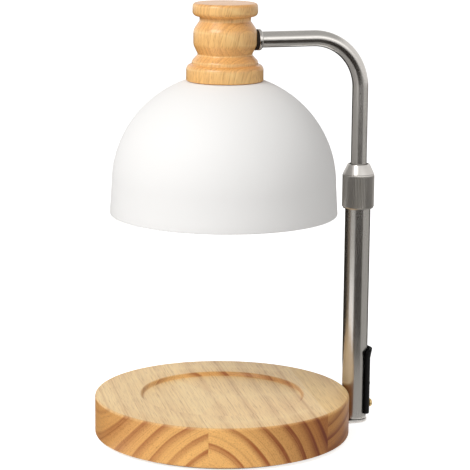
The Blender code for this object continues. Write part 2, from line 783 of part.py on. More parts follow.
def arm_path(end):
    """Centreline of the arm from its lower end, round the bend, to a place along X."""
    bend = quarter_turn((POST_X - ARM_BEND, ARM_HEIGHT - ARM_BEND), 0, math.pi / 2, ARM_BEND, ARM_BEND_STEPS)
    return [Vector((POST_X, 0, ARM_BOTTOM))] + bend + [Vector((end, 0, ARM_HEIGHT))]


def add_arm(finishes, carrier):
    """Bent arm tube, its guide bush, and the lead inside it."""
    here = carrier.location
    path = [point - here for point in arm_path(arm_end())]
    add_part("arm_tube", swept_tube_mesh("arm_tube", path, ARM_RADIUS, ARM_RADIUS - ARM_WALL),
             finishes["brushed_steel"], here, carrier=carrier)
    outline = tube_outline(ARM_RADIUS + FIT, POST_BORE - FIT, 0, BUSH_HEIGHT)
    add_part("guide_bush", turned_mesh("guide_bush", outline, ROUND_SEGMENTS), finishes["nylon"],
             (POST_X, 0, ARM_BOTTOM), carrier=carrier)
    path = [point - here for point in arm_path(arm_end() - LEAD_END_PROUD)]
    add_part("arm_lead", cable("arm_lead", path, LEAD_RADIUS), finishes["black_plastic"], here,
             carrier=carrier)


def add_arm_fixing(finishes, carrier):
    """Flange, washers and nut that hold the arm's end in the cap's wall."""
    bore = ARM_RADIUS + FIT
    washer = CAP_SEAT_X + FIT
    flange = washer + WASHER_THICKNESS + FIT
    inner_washer = CAP_INNER_SEAT_X - FIT - INNER_WASHER_THICKNESS
    inner_nut = inner_washer - FIT - INNER_NUT_THICKNESS
    flange_outline = rounded([
        (bore, 0),
        (WASHER_RADIUS, 0),
        (WASHER_RADIUS, FLANGE_THICKNESS, FLANGE_ROUND),
        (bore, FLANGE_THICKNESS),
    ])
    pieces = (
        ("rubber_washer", tube_outline(bore, WASHER_RADIUS, 0, WASHER_THICKNESS), "rubber", washer),
        ("arm_flange", flange_outline, "brushed_steel", flange),
        ("inner_washer", tube_outline(bore, INNER_WASHER_RADIUS, 0, INNER_WASHER_THICKNESS),
         "zinc_steel", inner_washer),
    )
    for name, outline, finish, place in pieces:
        add_part(name, turned_mesh(name, outline), finishes[finish],
                 (place, 0, ARM_HEIGHT), TURN_TO_X, carrier)
    outline = tube_outline(bore, INNER_NUT_RADIUS, 0, INNER_NUT_THICKNESS)
    nut = add_part("inner_nut", turned_mesh("inner_nut", outline), finishes["zinc_steel"],
                   (inner_nut, 0, ARM_HEIGHT), TURN_TO_X, carrier)
    corners = (math.pi * side / 3 for side in range(6))
    hexagon = [(INNER_NUT_RADIUS * math.cos(turn), INNER_NUT_RADIUS * math.sin(turn)) for turn in corners]
    keeper = prism_mesh("inner_nut_hexagon", hexagon, -OVERRUN, INNER_NUT_THICKNESS + OVERRUN)
    cut(nut, keeper, (inner_nut, 0, ARM_HEIGHT), TURN_TO_X, "INTERSECT")


def shade_screw_places():
    """Places of the screws round the cap's collar."""
    pitch = 2 * math.pi / SHADE_SCREW_COUNT
    turns = (SHADE_SCREW_TURN + pitch * index for index in range(SHADE_SCREW_COUNT))
    return [(SHADE_SCREW_CIRCLE * math.cos(turn), SHADE_SCREW_CIRCLE * math.sin(turn)) for turn in turns]


def cap_outline():
    """Section of the turned cap, from its top down the side and up its hollow."""
    counterbore = HOLDER_FLANGE_RADIUS + FIT
    return rounded([
        (0, CAP_HEIGHT),
        (CAP_DISC_RADIUS, CAP_HEIGHT, CAP_DISC_UPPER_ROUND),
        (CAP_DISC_RADIUS, CAP_UPPER_NECK_HIGH, CAP_DISC_LOWER_ROUND),
        (CAP_UPPER_NECK_RADIUS, CAP_UPPER_NECK_HIGH, CAP_NECK_ROUND),
        (CAP_UPPER_NECK_RADIUS, CAP_UPPER_NECK_LOW, CAP_NECK_ROUND),
        (CAP_BULGE_RADIUS, CAP_BULGE_HIGH, CAP_BULGE_ROUND),
        (CAP_BULGE_RADIUS, CAP_BULGE_LOW, CAP_BULGE_ROUND),
        (CAP_LOWER_NECK_RADIUS, CAP_LOWER_NECK_HEIGHT, CAP_NECK_ROUND),
        (CAP_BEAD_RADIUS, CAP_BEAD_HEIGHT, CAP_BEAD_ROUND),
        (CAP_BEAD_RADIUS, CAP_SHOULDER_HEIGHT),
        (CAP_COLLAR_RADIUS, CAP_SHOULDER_HEIGHT, CAP_SHOULDER_ROUND),
        (CAP_COLLAR_RADIUS, 0, CAP_COLLAR_ROUND),
        (counterbore, 0),
        (counterbore, HOLDER_FLANGE_THICKNESS + FIT),
        (CAVITY_RADIUS, HOLDER_FLANGE_THICKNESS + FIT),
        (CAVITY_RADIUS, CAVITY_HEIGHT),
        (0, CAVITY_HEIGHT),
    ])


def add_cap(finishes, carrier):
    """Turned wooden cap with its hollow, the arm's hole and its two seats."""
    cap = add_part("wood_cap", turned_mesh("wood_cap", cap_outline(), ROUND_SEGMENTS), finishes["wood"],
                   (0, 0, CAP_BOTTOM), carrier=carrier)
    inner_seat = INNER_NUT_RADIUS + FIT
    outer_seat = WASHER_RADIUS + FIT
    reach = CAP_COLLAR_RADIUS + OVERRUN
    stepped_hole = [
        (0, 0),
        (inner_seat, 0),
        (inner_seat, CAP_INNER_SEAT_X),
        (ARM_RADIUS + FIT, CAP_INNER_SEAT_X),
        (ARM_RADIUS + FIT, CAP_SEAT_X),
        (outer_seat, CAP_SEAT_X),
        (outer_seat, reach),
        (0, reach),
    ]
    cut(cap, cutter_mesh("cap_arm_hole", stepped_hole), (0, 0, ARM_HEIGHT), TURN_TO_X)
    add_screw_holes(cap, "cap", SHADE_SCREW_Z - OVERRUN, screw_top() + FIT)


def screw_top():
    """Height that the shade's screws reach in the cap's collar."""
    return SHADE_SCREW_Z + SHADE_SCREW_HEAD_HEIGHT + SHADE_SCREW_LENGTH


def add_screw_holes(part, name, bottom, top):
    """Cut the three screws' clearance holes through a piece."""
    for index, (across, along) in enumerate(shade_screw_places(), 1):
        hole = rod_outline(SHADE_SCREW_SHANK + FIT, bottom, top)
        cut(part, cutter_mesh(f"{name}_screw_hole_{index}", hole), (across, along, 0))


def shade_profile():
    """Outer profile of the shade, from the opening in its top down to its rim."""
    seat_angle = math.acos(SHADE_SEAT_RADIUS / SHADE_DOME_RADIUS)
    centre = SHADE_SEAT - SHADE_DOME_HEIGHT * math.sin(seat_angle)
    profile = [(HOLDER_RADIUS + HOLDER_OPENING_GAP, SHADE_SEAT)]
    for step in range(SHADE_DOME_STEPS + 1):
        angle = seat_angle * (1 - step / SHADE_DOME_STEPS)
        height = centre + SHADE_DOME_HEIGHT * math.sin(angle)
        profile.append((SHADE_DOME_RADIUS * math.cos(angle), height))
    for step in range(1, SHADE_SKIRT_STEPS + 1):
        share = step / SHADE_SKIRT_STEPS
        profile.append((SHADE_DOME_RADIUS + (SHADE_RIM_RADIUS - SHADE_DOME_RADIUS) * share,
                        centre - SHADE_SKIRT * share))
    return profile


def add_shade(finishes, carrier):
    """Spun dome that hangs under the cap."""
    outline = shell_outline(shade_profile(), SHADE_WALL)
    shade = add_part("shade", turned_mesh("shade", outline, FINE_SEGMENTS), finishes["white_paint"],
                     carrier=carrier)
    add_screw_holes(shade, "shade", PLATE_BOTTOM, SHADE_SEAT + OVERRUN)


def add_shade_fixing(finishes, carrier):
    """Plate inside the shade, and the screws that pull it up to the cap."""
    outline = tube_outline(HOLDER_RADIUS + HOLDER_OPENING_GAP, PLATE_RADIUS, PLATE_BOTTOM, PLATE_TOP)
    plate = add_part("shade_plate", turned_mesh("shade_plate", outline, ROUND_SEGMENTS),
                     finishes["zinc_steel"], carrier=carrier)
    add_screw_holes(plate, "plate", PLATE_BOTTOM - OVERRUN, PLATE_TOP + OVERRUN)
    sizes = (SHADE_SCREW_HEAD, SHADE_SCREW_HEAD_HEIGHT, SHADE_SCREW_SHANK, SHADE_SCREW_LENGTH)
    for index, (across, along) in enumerate(shade_screw_places(), 1):
        name = f"shade_screw_{index}"
        add_part(name, turned_mesh(name, pan_screw_outline(*sizes)), finishes["zinc_steel"],
                 (across, along, SHADE_SCREW_Z), carrier=carrier)


def add_lampholder(finishes, carrier):
    """Ceramic holder with its terminals, held by its flange between the shade and the cap."""
    flange_top = CAP_BOTTOM + HOLDER_FLANGE_THICKNESS
    outline = rounded([
        (0, HOLDER_BOTTOM),
        (HOLDER_RADIUS, HOLDER_BOTTOM, HOLDER_ROUND),
        (HOLDER_RADIUS, CAP_BOTTOM),
        (HOLDER_FLANGE_RADIUS, CAP_BOTTOM),
        (HOLDER_FLANGE_RADIUS, flange_top),
        (HOLDER_TOP_RADIUS, flange_top),
        (HOLDER_TOP_RADIUS, HOLDER_TOP, HOLDER_ROUND),
        (0, HOLDER_TOP),
    ])
    holder = add_part("lampholder", turned_mesh("lampholder", outline, ROUND_SEGMENTS), finishes["ceramic"],
                      carrier=carrier)
    for index, side in enumerate((1, -1), 1):
        start = side * math.pi / 2
        slot = kidney_outline(PIN_SPACING / 2, PIN_HEAD_RADIUS + FIT, start, start + PIN_TWIST)
        cut(holder, prism_mesh(f"holder_slot_{index}", slot, HOLDER_BOTTOM - OVERRUN,
                               BULB_BASE_TOP + FIT + SLOT_DEPTH))
        name = f"holder_contact_{index}"
        add_part(name, box_mesh(name, (CONTACT_WIDTH, CONTACT_THICKNESS, CONTACT_HEIGHT)), finishes["brass"],
                 (0, side * PIN_SPACING / 2, HOLDER_TOP + FIT + CONTACT_HEIGHT / 2), carrier=carrier)


def add_cores(finishes, carrier):
    """Two cores from the lead's end down to the holder's terminals."""
    start = arm_end() - LEAD_END_PROUD - FIT
    end = HOLDER_TOP + FIT + CONTACT_HEIGHT + FIT + CORE_RADIUS
    for index, side in enumerate((1, -1), 1):
        near = Vector((start, side * LEAD_RADIUS / 2, ARM_HEIGHT))
        far = Vector((0, side * PIN_SPACING / 2, end - CORE_RADIUS))
        near_pull = near + Vector((-start, 0, 0))
        far_pull = far + Vector((0, 0, (ARM_HEIGHT - end) * CORE_BEND_SHARE))
        points = []
        for step in range(SMALL_SEGMENTS // 2 + 1):
            share = 2 * step / SMALL_SEGMENTS
            rest = 1 - share
            points.append(near * rest ** 3 + near_pull * 3 * rest ** 2 * share
                          + far_pull * 3 * rest * share ** 2 + far * share ** 3)
        name = f"lead_core_{index}"
        add_part(name, cable(name, points, CORE_RADIUS), finishes["copper"], carrier=carrier)


# Bulb

def add_bulb(finishes, carrier):
    """Reflector heat lamp with two pins."""
    def add(name, mesh, finish, place=(0, 0, 0)):
        add_part(name, mesh, finishes[finish], place, carrier=carrier)

    bowl_bottom = BULB_RIM_Z + BULB_RIM_HEIGHT
    profile = []
    for step in range(BULB_BOWL_STEPS + 1):
        share = step / BULB_BOWL_STEPS
        radius = BULB_NECK_RADIUS + (BULB_RADIUS - BULB_NECK_RADIUS) * share
        drop = (radius ** 2 - BULB_NECK_RADIUS ** 2) / (BULB_RADIUS ** 2 - BULB_NECK_RADIUS ** 2)
        profile.append((radius, BULB_NECK_Z - (BULB_NECK_Z - bowl_bottom) * drop))
    profile.append((BULB_RADIUS, BULB_RIM_Z))
    add("bulb_reflector", turned_mesh("bulb_reflector", shell_outline(profile, BULB_WALL), ROUND_SEGMENTS),
        "lamp_glass")
    lens_bottom = BULB_RIM_Z + LENS_INSET
    outline = rod_outline(BULB_RADIUS - BULB_WALL - FIT, lens_bottom, lens_bottom + LENS_THICKNESS)
    add("bulb_lens", turned_mesh("bulb_lens", outline, ROUND_SEGMENTS), "lamp_glass")
    outline = rounded([
        (0, BULB_BASE_BOTTOM),
        (BULB_BASE_RADIUS, BULB_BASE_BOTTOM, BULB_BASE_ROUND),
        (BULB_BASE_RADIUS, BULB_BASE_TOP, BULB_BASE_ROUND),
        (0, BULB_BASE_TOP),
    ])
    add("bulb_base", turned_mesh("bulb_base", outline, ROUND_SEGMENTS), "ceramic")
    stem_top = BULB_BASE_BOTTOM - FIT
    stem_bottom = stem_top - CAPSULE_STEM_LENGTH
    capsule_bottom = stem_bottom - CAPSULE_LENGTH
    outline = rounded([
        (0, capsule_bottom),
        (CAPSULE_RADIUS, capsule_bottom, CAPSULE_TIP_ROUND),
        (CAPSULE_RADIUS, stem_bottom, CAPSULE_SHOULDER_ROUND),
        (CAPSULE_STEM_RADIUS, stem_bottom),
        (CAPSULE_STEM_RADIUS, stem_top),
        (0, stem_top),
    ])
    add("bulb_capsule", turned_mesh("bulb_capsule", outline), "lamp_glass")
    outline = [
        (0, 0),
        (PIN_NECK_RADIUS, 0),
        (PIN_NECK_RADIUS, PIN_NECK_LENGTH),
        (PIN_HEAD_RADIUS, PIN_NECK_LENGTH),
        (PIN_HEAD_RADIUS, PIN_NECK_LENGTH + PIN_HEAD_LENGTH),
        (0, PIN_NECK_LENGTH + PIN_HEAD_LENGTH),
    ]
    for index, side in enumerate((1, -1), 1):
        name = f"bulb_pin_{index}"
        add(name, turned_mesh(name, outline), "zinc_steel", (0, side * PIN_SPACING / 2, BULB_BASE_TOP + FIT))


def main():
    """Build the lamp, from the stand up."""
    clear_scene()
    finishes = make_finishes()
    add_mat(finishes)
    add_base(finishes)
    add_strip(finishes)
    add_post(finishes)
    add_cover(finishes)
    add_post_lead(finishes)
    add_fitting(finishes)
    swing_axis = add_axis("swing_axis", (POST_X, 0, POST_TOP))
    height_axis = add_axis("height_axis", (POST_X, 0, ARM_BOTTOM), swing_axis)
    lift_axis = add_axis("lift_axis", (POST_X, 0, thrust_bottom()))
    nut_axis = add_axis("nut_axis", (POST_X, 0, POST_TOP), lift_axis)
    bulb_axis = add_axis("bulb_axis", (0, 0, HOLDER_BOTTOM), height_axis)
    add_collet(finishes, swing_axis)
    add_thrust_washer(finishes, lift_axis)
    add_nut(finishes, nut_axis)
    add_arm(finishes, height_axis)
    add_arm_fixing(finishes, height_axis)
    add_cap(finishes, height_axis)
    add_shade(finishes, height_axis)
    add_shade_fixing(finishes, height_axis)
    add_lampholder(finishes, height_axis)
    add_cores(finishes, height_axis)
    add_bulb(finishes, bulb_axis)


if __name__ == "__main__":
    main()
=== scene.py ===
"""Candle warmer lamp: fine shapes and finishes round its fixed frame.

Metres, +Z up. The origin is the centre of the face that the lamp rests on, the
post stands on +X, and every place is worked out from the frame's own pieces.
"""

import json
import math

import bmesh
import bpy
from mathutils import Matrix, Vector


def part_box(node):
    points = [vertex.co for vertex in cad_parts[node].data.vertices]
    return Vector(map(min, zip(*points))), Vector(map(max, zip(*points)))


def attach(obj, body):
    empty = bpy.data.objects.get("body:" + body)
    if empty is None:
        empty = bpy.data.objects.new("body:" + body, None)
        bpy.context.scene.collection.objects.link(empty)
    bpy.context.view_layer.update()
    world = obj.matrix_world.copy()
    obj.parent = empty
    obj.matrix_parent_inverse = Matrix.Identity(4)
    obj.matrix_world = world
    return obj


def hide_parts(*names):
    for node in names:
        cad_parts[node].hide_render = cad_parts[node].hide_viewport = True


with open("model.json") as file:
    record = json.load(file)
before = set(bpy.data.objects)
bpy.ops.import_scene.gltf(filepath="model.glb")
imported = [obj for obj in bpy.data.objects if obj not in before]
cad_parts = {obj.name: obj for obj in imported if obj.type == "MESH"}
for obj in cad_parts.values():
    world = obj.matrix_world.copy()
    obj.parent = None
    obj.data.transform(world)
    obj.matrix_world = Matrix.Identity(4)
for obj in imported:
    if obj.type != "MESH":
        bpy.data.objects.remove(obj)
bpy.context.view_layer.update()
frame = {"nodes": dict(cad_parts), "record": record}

bl_info = {
    "name": "Candle Warmer Lamp",
    "version": (1, 0, 0),
    "blender": (4, 5, 0),
    "location": "View3D > Sidebar > Lamp",
    "description": "Builds the lamp's wood, steel, shade and bulb round its frame",
    "category": "Add Mesh",
}

# Fits and cuts
FIT = 0.0003
OVERRUN = 0.002
WELD = 0.000001

# Smoothness of round shapes
LARGE_SEGMENTS = 192
MEDIUM_SEGMENTS = 96
SMALL_SEGMENTS = 48
ARC_STEP = math.radians(9)
SHARP_ANGLE = math.radians(32)

# Wooden base
RECESS_RADIUS = 0.050
RECESS_FILLET = 0.0012
BASE_EDGE_ROUND = 0.0015

# Mat's rings, which grip the table
MAT_RING_COUNT = 12
MAT_RING_DEPTH = 0.0004
MAT_EDGE_ROUND = 0.0004

# Steel strip under the base
STRIP_EDGE_ROUND = 0.0004

# Screw heads and their cross recesses
CROSS_ARM_SHARE = 0.62
CROSS_WIDTH_SHARE = 0.24
CROSS_DEPTH_SHARE = 0.55
COUNTERSUNK_SLOPE = 0.0021
TAPER_START_SHARE = 0.75
TIP_SHARE = 0.2
PAN_ROUND_SHARE = 0.7
BRASS_HEAD_SHARE = 0.69
SHADE_SCREW_HEAD = 0.0016

# Post and its plate
POST_WALL = 0.0012
POST_EDGE_ROUND = 0.0003
PLATE_WALL = 0.0017
PLATE_LIP_LENGTH = 0.0065
PLATE_LIP_FLARE = 0.0012
PLATE_CORNER = 0.0055
PLATE_ANGLE = math.radians(58)
PLATE_EDGE_ROUND = 0.0005
PLATE_COLUMNS = 40
PLATE_ROWS = 56
GROMMET_LIP = 0.0006
GROMMET_TAPER = 0.0011
GROMMET_SINK = 0.0004

# Clamp nut
NUT_CONE_HEIGHT = 0.0060
NUT_NECK_HEIGHT = 0.0006
NUT_CHAMFER = 0.0007
NUT_TOP_RADIUS = 0.0070
NUT_HOLE_GAP = 0.0011
NUT_EDGE_ROUND = 0.0002
NUT_SHOULDER_ROUND = 0.0003
NUT_NECK_FLARE = 0.0001
KNURL_STEPS = 4

# Arm tube, and the edges of the rings between it and the cap
ARM_WALL = 0.0008
FLANGE_EDGE = 0.0011
GASKET_EDGE = 0.0004
COLLAR_INNER_EDGE = 0.0003
ARM_BEND = 0.0316
ARM_BEND_STEPS = 48

# Turned cap: (radius, height, rounding) as shares of the collar's radius, the height and the radius
CAP_SHARES = (
    (0.000, 1.000, 0.000),
    (0.844, 1.000, 0.089),
    (0.844, 0.829, 0.118),
    (0.662, 0.829, 0.055),
    (0.662, 0.768, 0.055),
    (0.819, 0.656, 0.283),
    (0.819, 0.460, 0.283),
    (0.700, 0.338, 0.055),
    (0.857, 0.255, 0.089),
    (0.857, 0.211, 0.010),
    (1.000, 0.211, 0.131),
    (1.000, 0.000, 0.025),
)
CAVITY_RADIUS_SHARE = 0.549
CAVITY_HEIGHT_SHARE = 0.707
ARM_SEAT_REACH = 0.0184
HOLDER_FLANGE = 0.0020
CAP_TURN = (-math.pi / 2, 0.0, math.radians(12))
CAP_CONTRAST = 0.42
CAP_GLOSS = 0.55

# Shade
SHADE_WALL = 0.0010
SHADE_FLARE = 0.0012
SHADE_LEDGE = 0.0012
SHADE_SKIRT = 0.0190
SHADE_OPENING = 0.0145
SHADE_ARC_STEPS = 56
SHADE_RIM_STEPS = 8
BACKPLATE_EDGE = 0.0003

# Bulb
BULB_NECK_RADIUS = 0.0087
BULB_RIM_HEIGHT = 0.0030
BULB_WALL = 0.0010
BULB_BOWL_STEPS = 20
BULB_RIM_STEPS = 6
SEGMENTS_PER_FACET = 6
FACETS_FROM = 0.02
FACETS_TO = 0.97
LENS_EDGES = (0.0005, 0.0003)
FACET_RINGS = 8
FACETS_ROUND = 24
FACET_DEPTH = 0.00022
FILAMENT_RADIUS = 0.0009
FILAMENT_WIRE = 0.00016
FILAMENT_TURNS = 9
FILAMENT_POINTS_PER_TURN = 12
FILAMENT_SPAN = (0.20, 0.48)

# Turns of a piece that is made upright
ALONG_X = (0, math.pi / 2, 0)
HEAD_DOWN = (math.pi, 0, 0)

# Boards that the base is glued from: where they join across the grain, each one's heart, its strong
# rings (the first one's distance from the heart, the first gap, and each next gap's share of the one
# before), its tone, and how much its end grain deepens away from the heart
BOARD_JOINTS = (-0.0226, 0.0548)
BOARD_HEARTS = ((0.000, -0.028), (-0.033, -0.023), (0.035, 0.090))
BOARD_RINGS = ((0.047, 0.0085, 0.97), (0.041, 0.0135, 0.88), (0.056, 0.0090, 0.98))
BOARD_TONES = ((0.98, 0.96, 0.93), (0.99, 0.97, 0.95), (0.93, 0.86, 0.70))
BOARD_DEPTHS = (0.45, 1.0, 1.0)
DEEP_NEAR = 0.050
DEEP_FAR = 0.094
CAP_HEART = (-0.030, -0.050)
RING_COUNT = 6
RING_REACH = 0.12
RING_RISE = 0.0046
RING_DARK = 0.0014
RING_FALL = 0.0006

# Rings over one year of growth, for the cap's bands and for every thin line: (share of the year, darkness)
YEAR_BAND = ((0.0, 0.0), (0.40, 0.08), (0.70, 0.65), (0.88, 1.0), (0.98, 0.6), (1.0, 0.0))
YEAR_LINE = ((0.0, 0.25), (0.08, 0.0), (0.80, 0.05), (0.93, 1.0), (1.0, 0.25))
FINE_LINE = ((0.0, 0.0), (0.55, 0.15), (0.85, 1.0), (1.0, 0.0))
FINE_LINES_A_YEAR = 4.0
UNEVEN_SCALE = 0.9
UNEVEN_REACH = 1.6
FLECK = ((0.28, (0.70, 0.60, 0.50)), (0.46, (0.97, 0.96, 0.94)), (0.66, (1.05, 1.05, 1.04)))

# Darkness of the bands where the fibres end and elsewhere, of the lines, and of the patches
BAND_AT_END = 0.80
BAND_AT_FACE = 0.14
LINE_DARKNESS = 0.22
FINE_DARKNESS = 0.15
PATCH_GAIN = 1.5
PATCH_BASE = 0.2

# Noise per metre: slow drift of the grain, patches, fine fibres, and the marks of brushing
DRIFT_SCALE = (16.0, 3.5, 16.0)
DRIFT_REACH = 0.006
PATCH_SCALE = (30.0, 8.0, 30.0)
FIBRE_SCALE = (1500.0, 60.0, 1500.0)
BRUSH_TURNED = 9000.0
BRUSH_FLAT = 3000.0
BRUSH_TUBE = 900.0
BRUSH_SLOW = 60.0
STEEL_MARKS = 0.10

# Steels: which colour of the settings each has, and its roughness over the brushed steel's
STEELS = {
    "satin_steel": ("steel", 0.0),
    "turned_steel": ("steel", 0.12),
    # The knurled steel's darker colour is painted shade of the knurl's fine grooves and of the nut's lower
    # chamfer
    "knurled_steel": ("knurl", 0.10),
}

# Plain stuffs: colour, roughness, metallic, grain per metre, relief and gloss
PLAIN_STUFFS = {
    "turned_brass": ((0.74, 0.53, 0.24), 0.28, 1.0, 900.0, 0.00004, 0.5),
    "zinc_plating": ((0.60, 0.60, 0.59), 0.38, 1.0, 900.0, 0.00004, 0.5),
    "black_moulding": ((0.005, 0.005, 0.005), 0.55, 0.0, 2600.0, 0.00004, 0.06),
    "soft_rubber": ((0.024, 0.014, 0.010), 0.70, 0.0, 1800.0, 0.00004, 0.30),
    "natural_nylon": ((0.74, 0.73, 0.69), 0.45, 0.0, 900.0, 0.00004, 0.5),
    "glazed_ceramic": ((0.84, 0.82, 0.77), 0.34, 0.0, 500.0, 0.00002, 0.5),
    "bare_copper": ((0.72, 0.34, 0.20), 0.32, 1.0, 900.0, 0.00004, 0.5),
    "tungsten": ((0.32, 0.30, 0.28), 0.35, 1.0, 900.0, 0.00004, 0.5),
    "mirrored_glass": ((0.86, 0.87, 0.88), 0.14, 0.9, 300.0, 0.00002, 0.5),
}
GLASS_COLOUR = (0.97, 0.98, 0.98)
GLASS_ROUGHNESS = 0.05
GLASS_RIPPLE = 420.0

# Floor, and the soft lamp on the left
FLOOR_REACH = 6.0
FLOOR_DROP = 0.00005
FLOOR_ROUGHNESS = 0.9
KEY_PLACE = (-1.12, -0.66, 1.36)
KEY_AIM = (0.0, 0.0, 0.15)
KEY_SIZE = (1.0, 0.9)

# Cards on the floor round the post that light nothing and show in the gloss alone, painting reflections into
# the steel: the dark and brownish ones painted shade, the grey ones a pale painted reflection. Height,
# distances, degrees from the front, glow
FLOOR_CARDS = {
    "right_card": (0.0003, (0.02, 3.0), (-42, 112), (0.46, 0.455, 0.44)),
    "left_card": (0.0003, (0.42, 3.0), (-86, -42), (0.46, 0.455, 0.44)),
    "front_card": (0.0006, (0.17, 3.0), (-42, 30), (0.030, 0.024, 0.020)),
    "side_card": (0.0006, (0.15, 3.0), (-114, -86), (0.200, 0.160, 0.120)),
    "back_card": (0.0006, (0.15, 3.0), (112, 246), (0.020, 0.016, 0.012)),
}
FAN_STEPS = 48

# Cards in the air that light nothing and show in the gloss alone: a grey top card, a painted reflection, and
# a bright window card, which paints the highlight band on the steel. Half sizes, place, turn and glow
AIR_CARDS = {
    "top_card": ((1.75, 1.75), (0.0, 0.45, 1.6), (0, 0, 0), (0.58, 0.58, 0.57)),
    "window_card": ((0.70, 0.26), (0.62, -1.30, 0.78), (math.pi / 2, 0, 0), (1.9, 1.9, 1.9)),
}

# Camera, as fitted to the photograph's outlines
CAMERA_AZIMUTH = math.radians(-17.689)
CAMERA_REACH = 1.29007
CAMERA_HEIGHT = 0.38680
CAMERA_AIM = (0.00714, 0.0, 0.12804)
CAMERA_ROLL = math.radians(0.5238)
CAMERA_LENS = 162.287
CAMERA_SENSOR = 36.0


# Settings

def colour_setting(name, description, default):
    """Setting that holds a colour."""
    return bpy.props.FloatVectorProperty(
        name=name, description=description, subtype="COLOR", size=3, min=0, max=1, default=default)


def share_setting(name, description, default):
    """Setting that holds a share between none and all."""
    return bpy.props.FloatProperty(
        name=name, description=description, subtype="FACTOR", min=0, max=1, default=default)


def distance_setting(name, description, default, least=0.0):
    """Setting that holds a distance."""
    return bpy.props.FloatProperty(
        name=name, description=description, subtype="DISTANCE", unit="LENGTH", min=least, default=default)


class LampWoodSettings(bpy.types.PropertyGroup):
    """Colours and grain of the base and the cap."""

    light: colour_setting("Early wood", "Colour between the rings", (0.97, 0.735, 0.39))
    end: colour_setting("End grain", "Tint of the wood where its fibres end", (0.94, 0.71, 0.45))
    ring: colour_setting("Late wood", "Colour of the rings", (0.44, 0.18, 0.075))
    deep: colour_setting("Deep wood", "Tint of the end grain far from the heart", (0.50, 0.31, 0.18))
    cap: colour_setting("Cap", "Tone of the turned cap against the base", (0.93, 0.80, 0.62))
    ring_spacing: distance_setting("Ring spacing", "Distance between thin rings", 0.0092, 0.001)
    cap_ring_spacing: distance_setting("Cap ring spacing", "Distance between the cap's rings", 0.0026, 0.001)
    board_turn: bpy.props.FloatProperty(
        name="Grain turn", description="Turn of the base's grain away from the lamp's depth",
        subtype="ANGLE", default=math.radians(7))
    sheen_roughness: share_setting("Oil finish", "Roughness of the oiled wood", 0.40)


class LampSteelSettings(bpy.types.PropertyGroup):
    """Steel parts and the nut's knurl."""

    steel: colour_setting("Steel", "Colour of the brushed steel", (0.60, 0.575, 0.545))
    # Darker than the steel: painted shade of the knurl's fine grooves and of the lower chamfer
    knurl: colour_setting("Knurled steel", "Colour of the nut's knurled band", (0.46, 0.44, 0.41))
    roughness: share_setting("Brushing", "Roughness of the brushed steel", 0.235)
    knurl_ribs: bpy.props.IntProperty(
        name="Knurl ribs", description="Number of ribs round the nut", min=12, default=60)
    knurl_depth: distance_setting("Knurl depth", "Depth of the grooves between the ribs", 0.0004)


class LampShadeSettings(bpy.types.PropertyGroup):
    """Painted shade."""

    paint: colour_setting("Paint", "Colour of the shade", (0.85, 0.842, 0.83))
    roughness: share_setting("Paint roughness", "Roughness of the matt paint", 0.62)


class LampStageSettings(bpy.types.PropertyGroup):
    """Floor, lamp and surroundings of the picture."""

    floor: colour_setting("Floor", "Colour of the floor", (0.82, 0.82, 0.82))
    floor_lift: bpy.props.FloatProperty(
        name="Floor lift", description="Light that the floor adds in the camera's view",
        min=0, default=0.74)
    air: colour_setting("Air", "Colour of the light from all round", (1.0, 0.99, 0.98))
    air_strength: bpy.props.FloatProperty(
        name="Air strength", description="Strength of the light from all round",
        min=0, default=0.50)
    key_power: bpy.props.FloatProperty(
        name="Key lamp", description="Power of the soft lamp on the left",
        subtype="POWER", unit="POWER", min=0, default=20.4)


# Sizes read from the frame

def low(node):
    """Lowest corner of a node of the frame."""
    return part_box(node)[0]


def high(node):
    """Highest corner of a node of the frame."""
    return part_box(node)[1]


def span(node):
    """Heights of a node's bottom and top."""
    return low(node).z, high(node).z


def mid_height(node):
    """Height of a node's middle."""
    return sum(span(node)) / 2


def radius_of(node):
    """Radius of a turned node, or half the width of a bar, from its width across the lamp."""
    return (high(node).y - low(node).y) / 2


def axis_of(node):
    """Middle of a node in plan, at height zero."""
    middle = (low(node) + high(node)) / 2
    return Vector((middle.x, middle.y, 0))


def seat_height():
    """Height of the recess that holds the jar."""
    return next(m["pos_m"][2] for m in frame["record"]["mounts"] if m["name"] == "jar_seat")


# Outlines

def corner_arc(before, corner, after, radius):
    """Points of the arc that rounds one corner of an outline."""
    corner = Vector(corner)
    back = (Vector(before) - corner).normalized()
    ahead = (Vector(after) - corner).normalized()
    half_angle = back.angle(ahead) / 2
    centre = corner + (back + ahead).normalized() * radius / math.sin(half_angle)
    start = corner + back * radius / math.tan(half_angle) - centre
    sweep = math.pi - 2 * half_angle
    steps = max(2, math.ceil(sweep / ARC_STEP))
    side = -1 if back.x * ahead.y - back.y * ahead.x > 0 else 1
    turns = (Matrix.Rotation(side * sweep * step / steps, 2) for step in range(steps + 1))
    return [tuple(centre + turn @ start) for turn in turns]


def rounded(corners):
    """Outline through (across, along) corners; a third value rounds a corner by that radius."""
    outline = []
    for index, corner in enumerate(corners):
        if len(corner) == 2 or not corner[2]:
            outline.append(tuple(corner[:2]))
            continue
        before = corners[index - 1][:2]
        after = corners[(index + 1) % len(corners)][:2]
        outline += corner_arc(before, corner[:2], after, corner[2])
    return outline


def ring_outline(bore, radius, bottom, top, edge):
    """Section of a ring with softened outer edges, held straight between them."""
    return rounded([
        (bore, bottom),
        (radius, bottom, edge),
        (radius, bottom + edge * 2),
        (radius, top - edge * 2),
        (radius, top, edge),
        (bore, top),
    ])


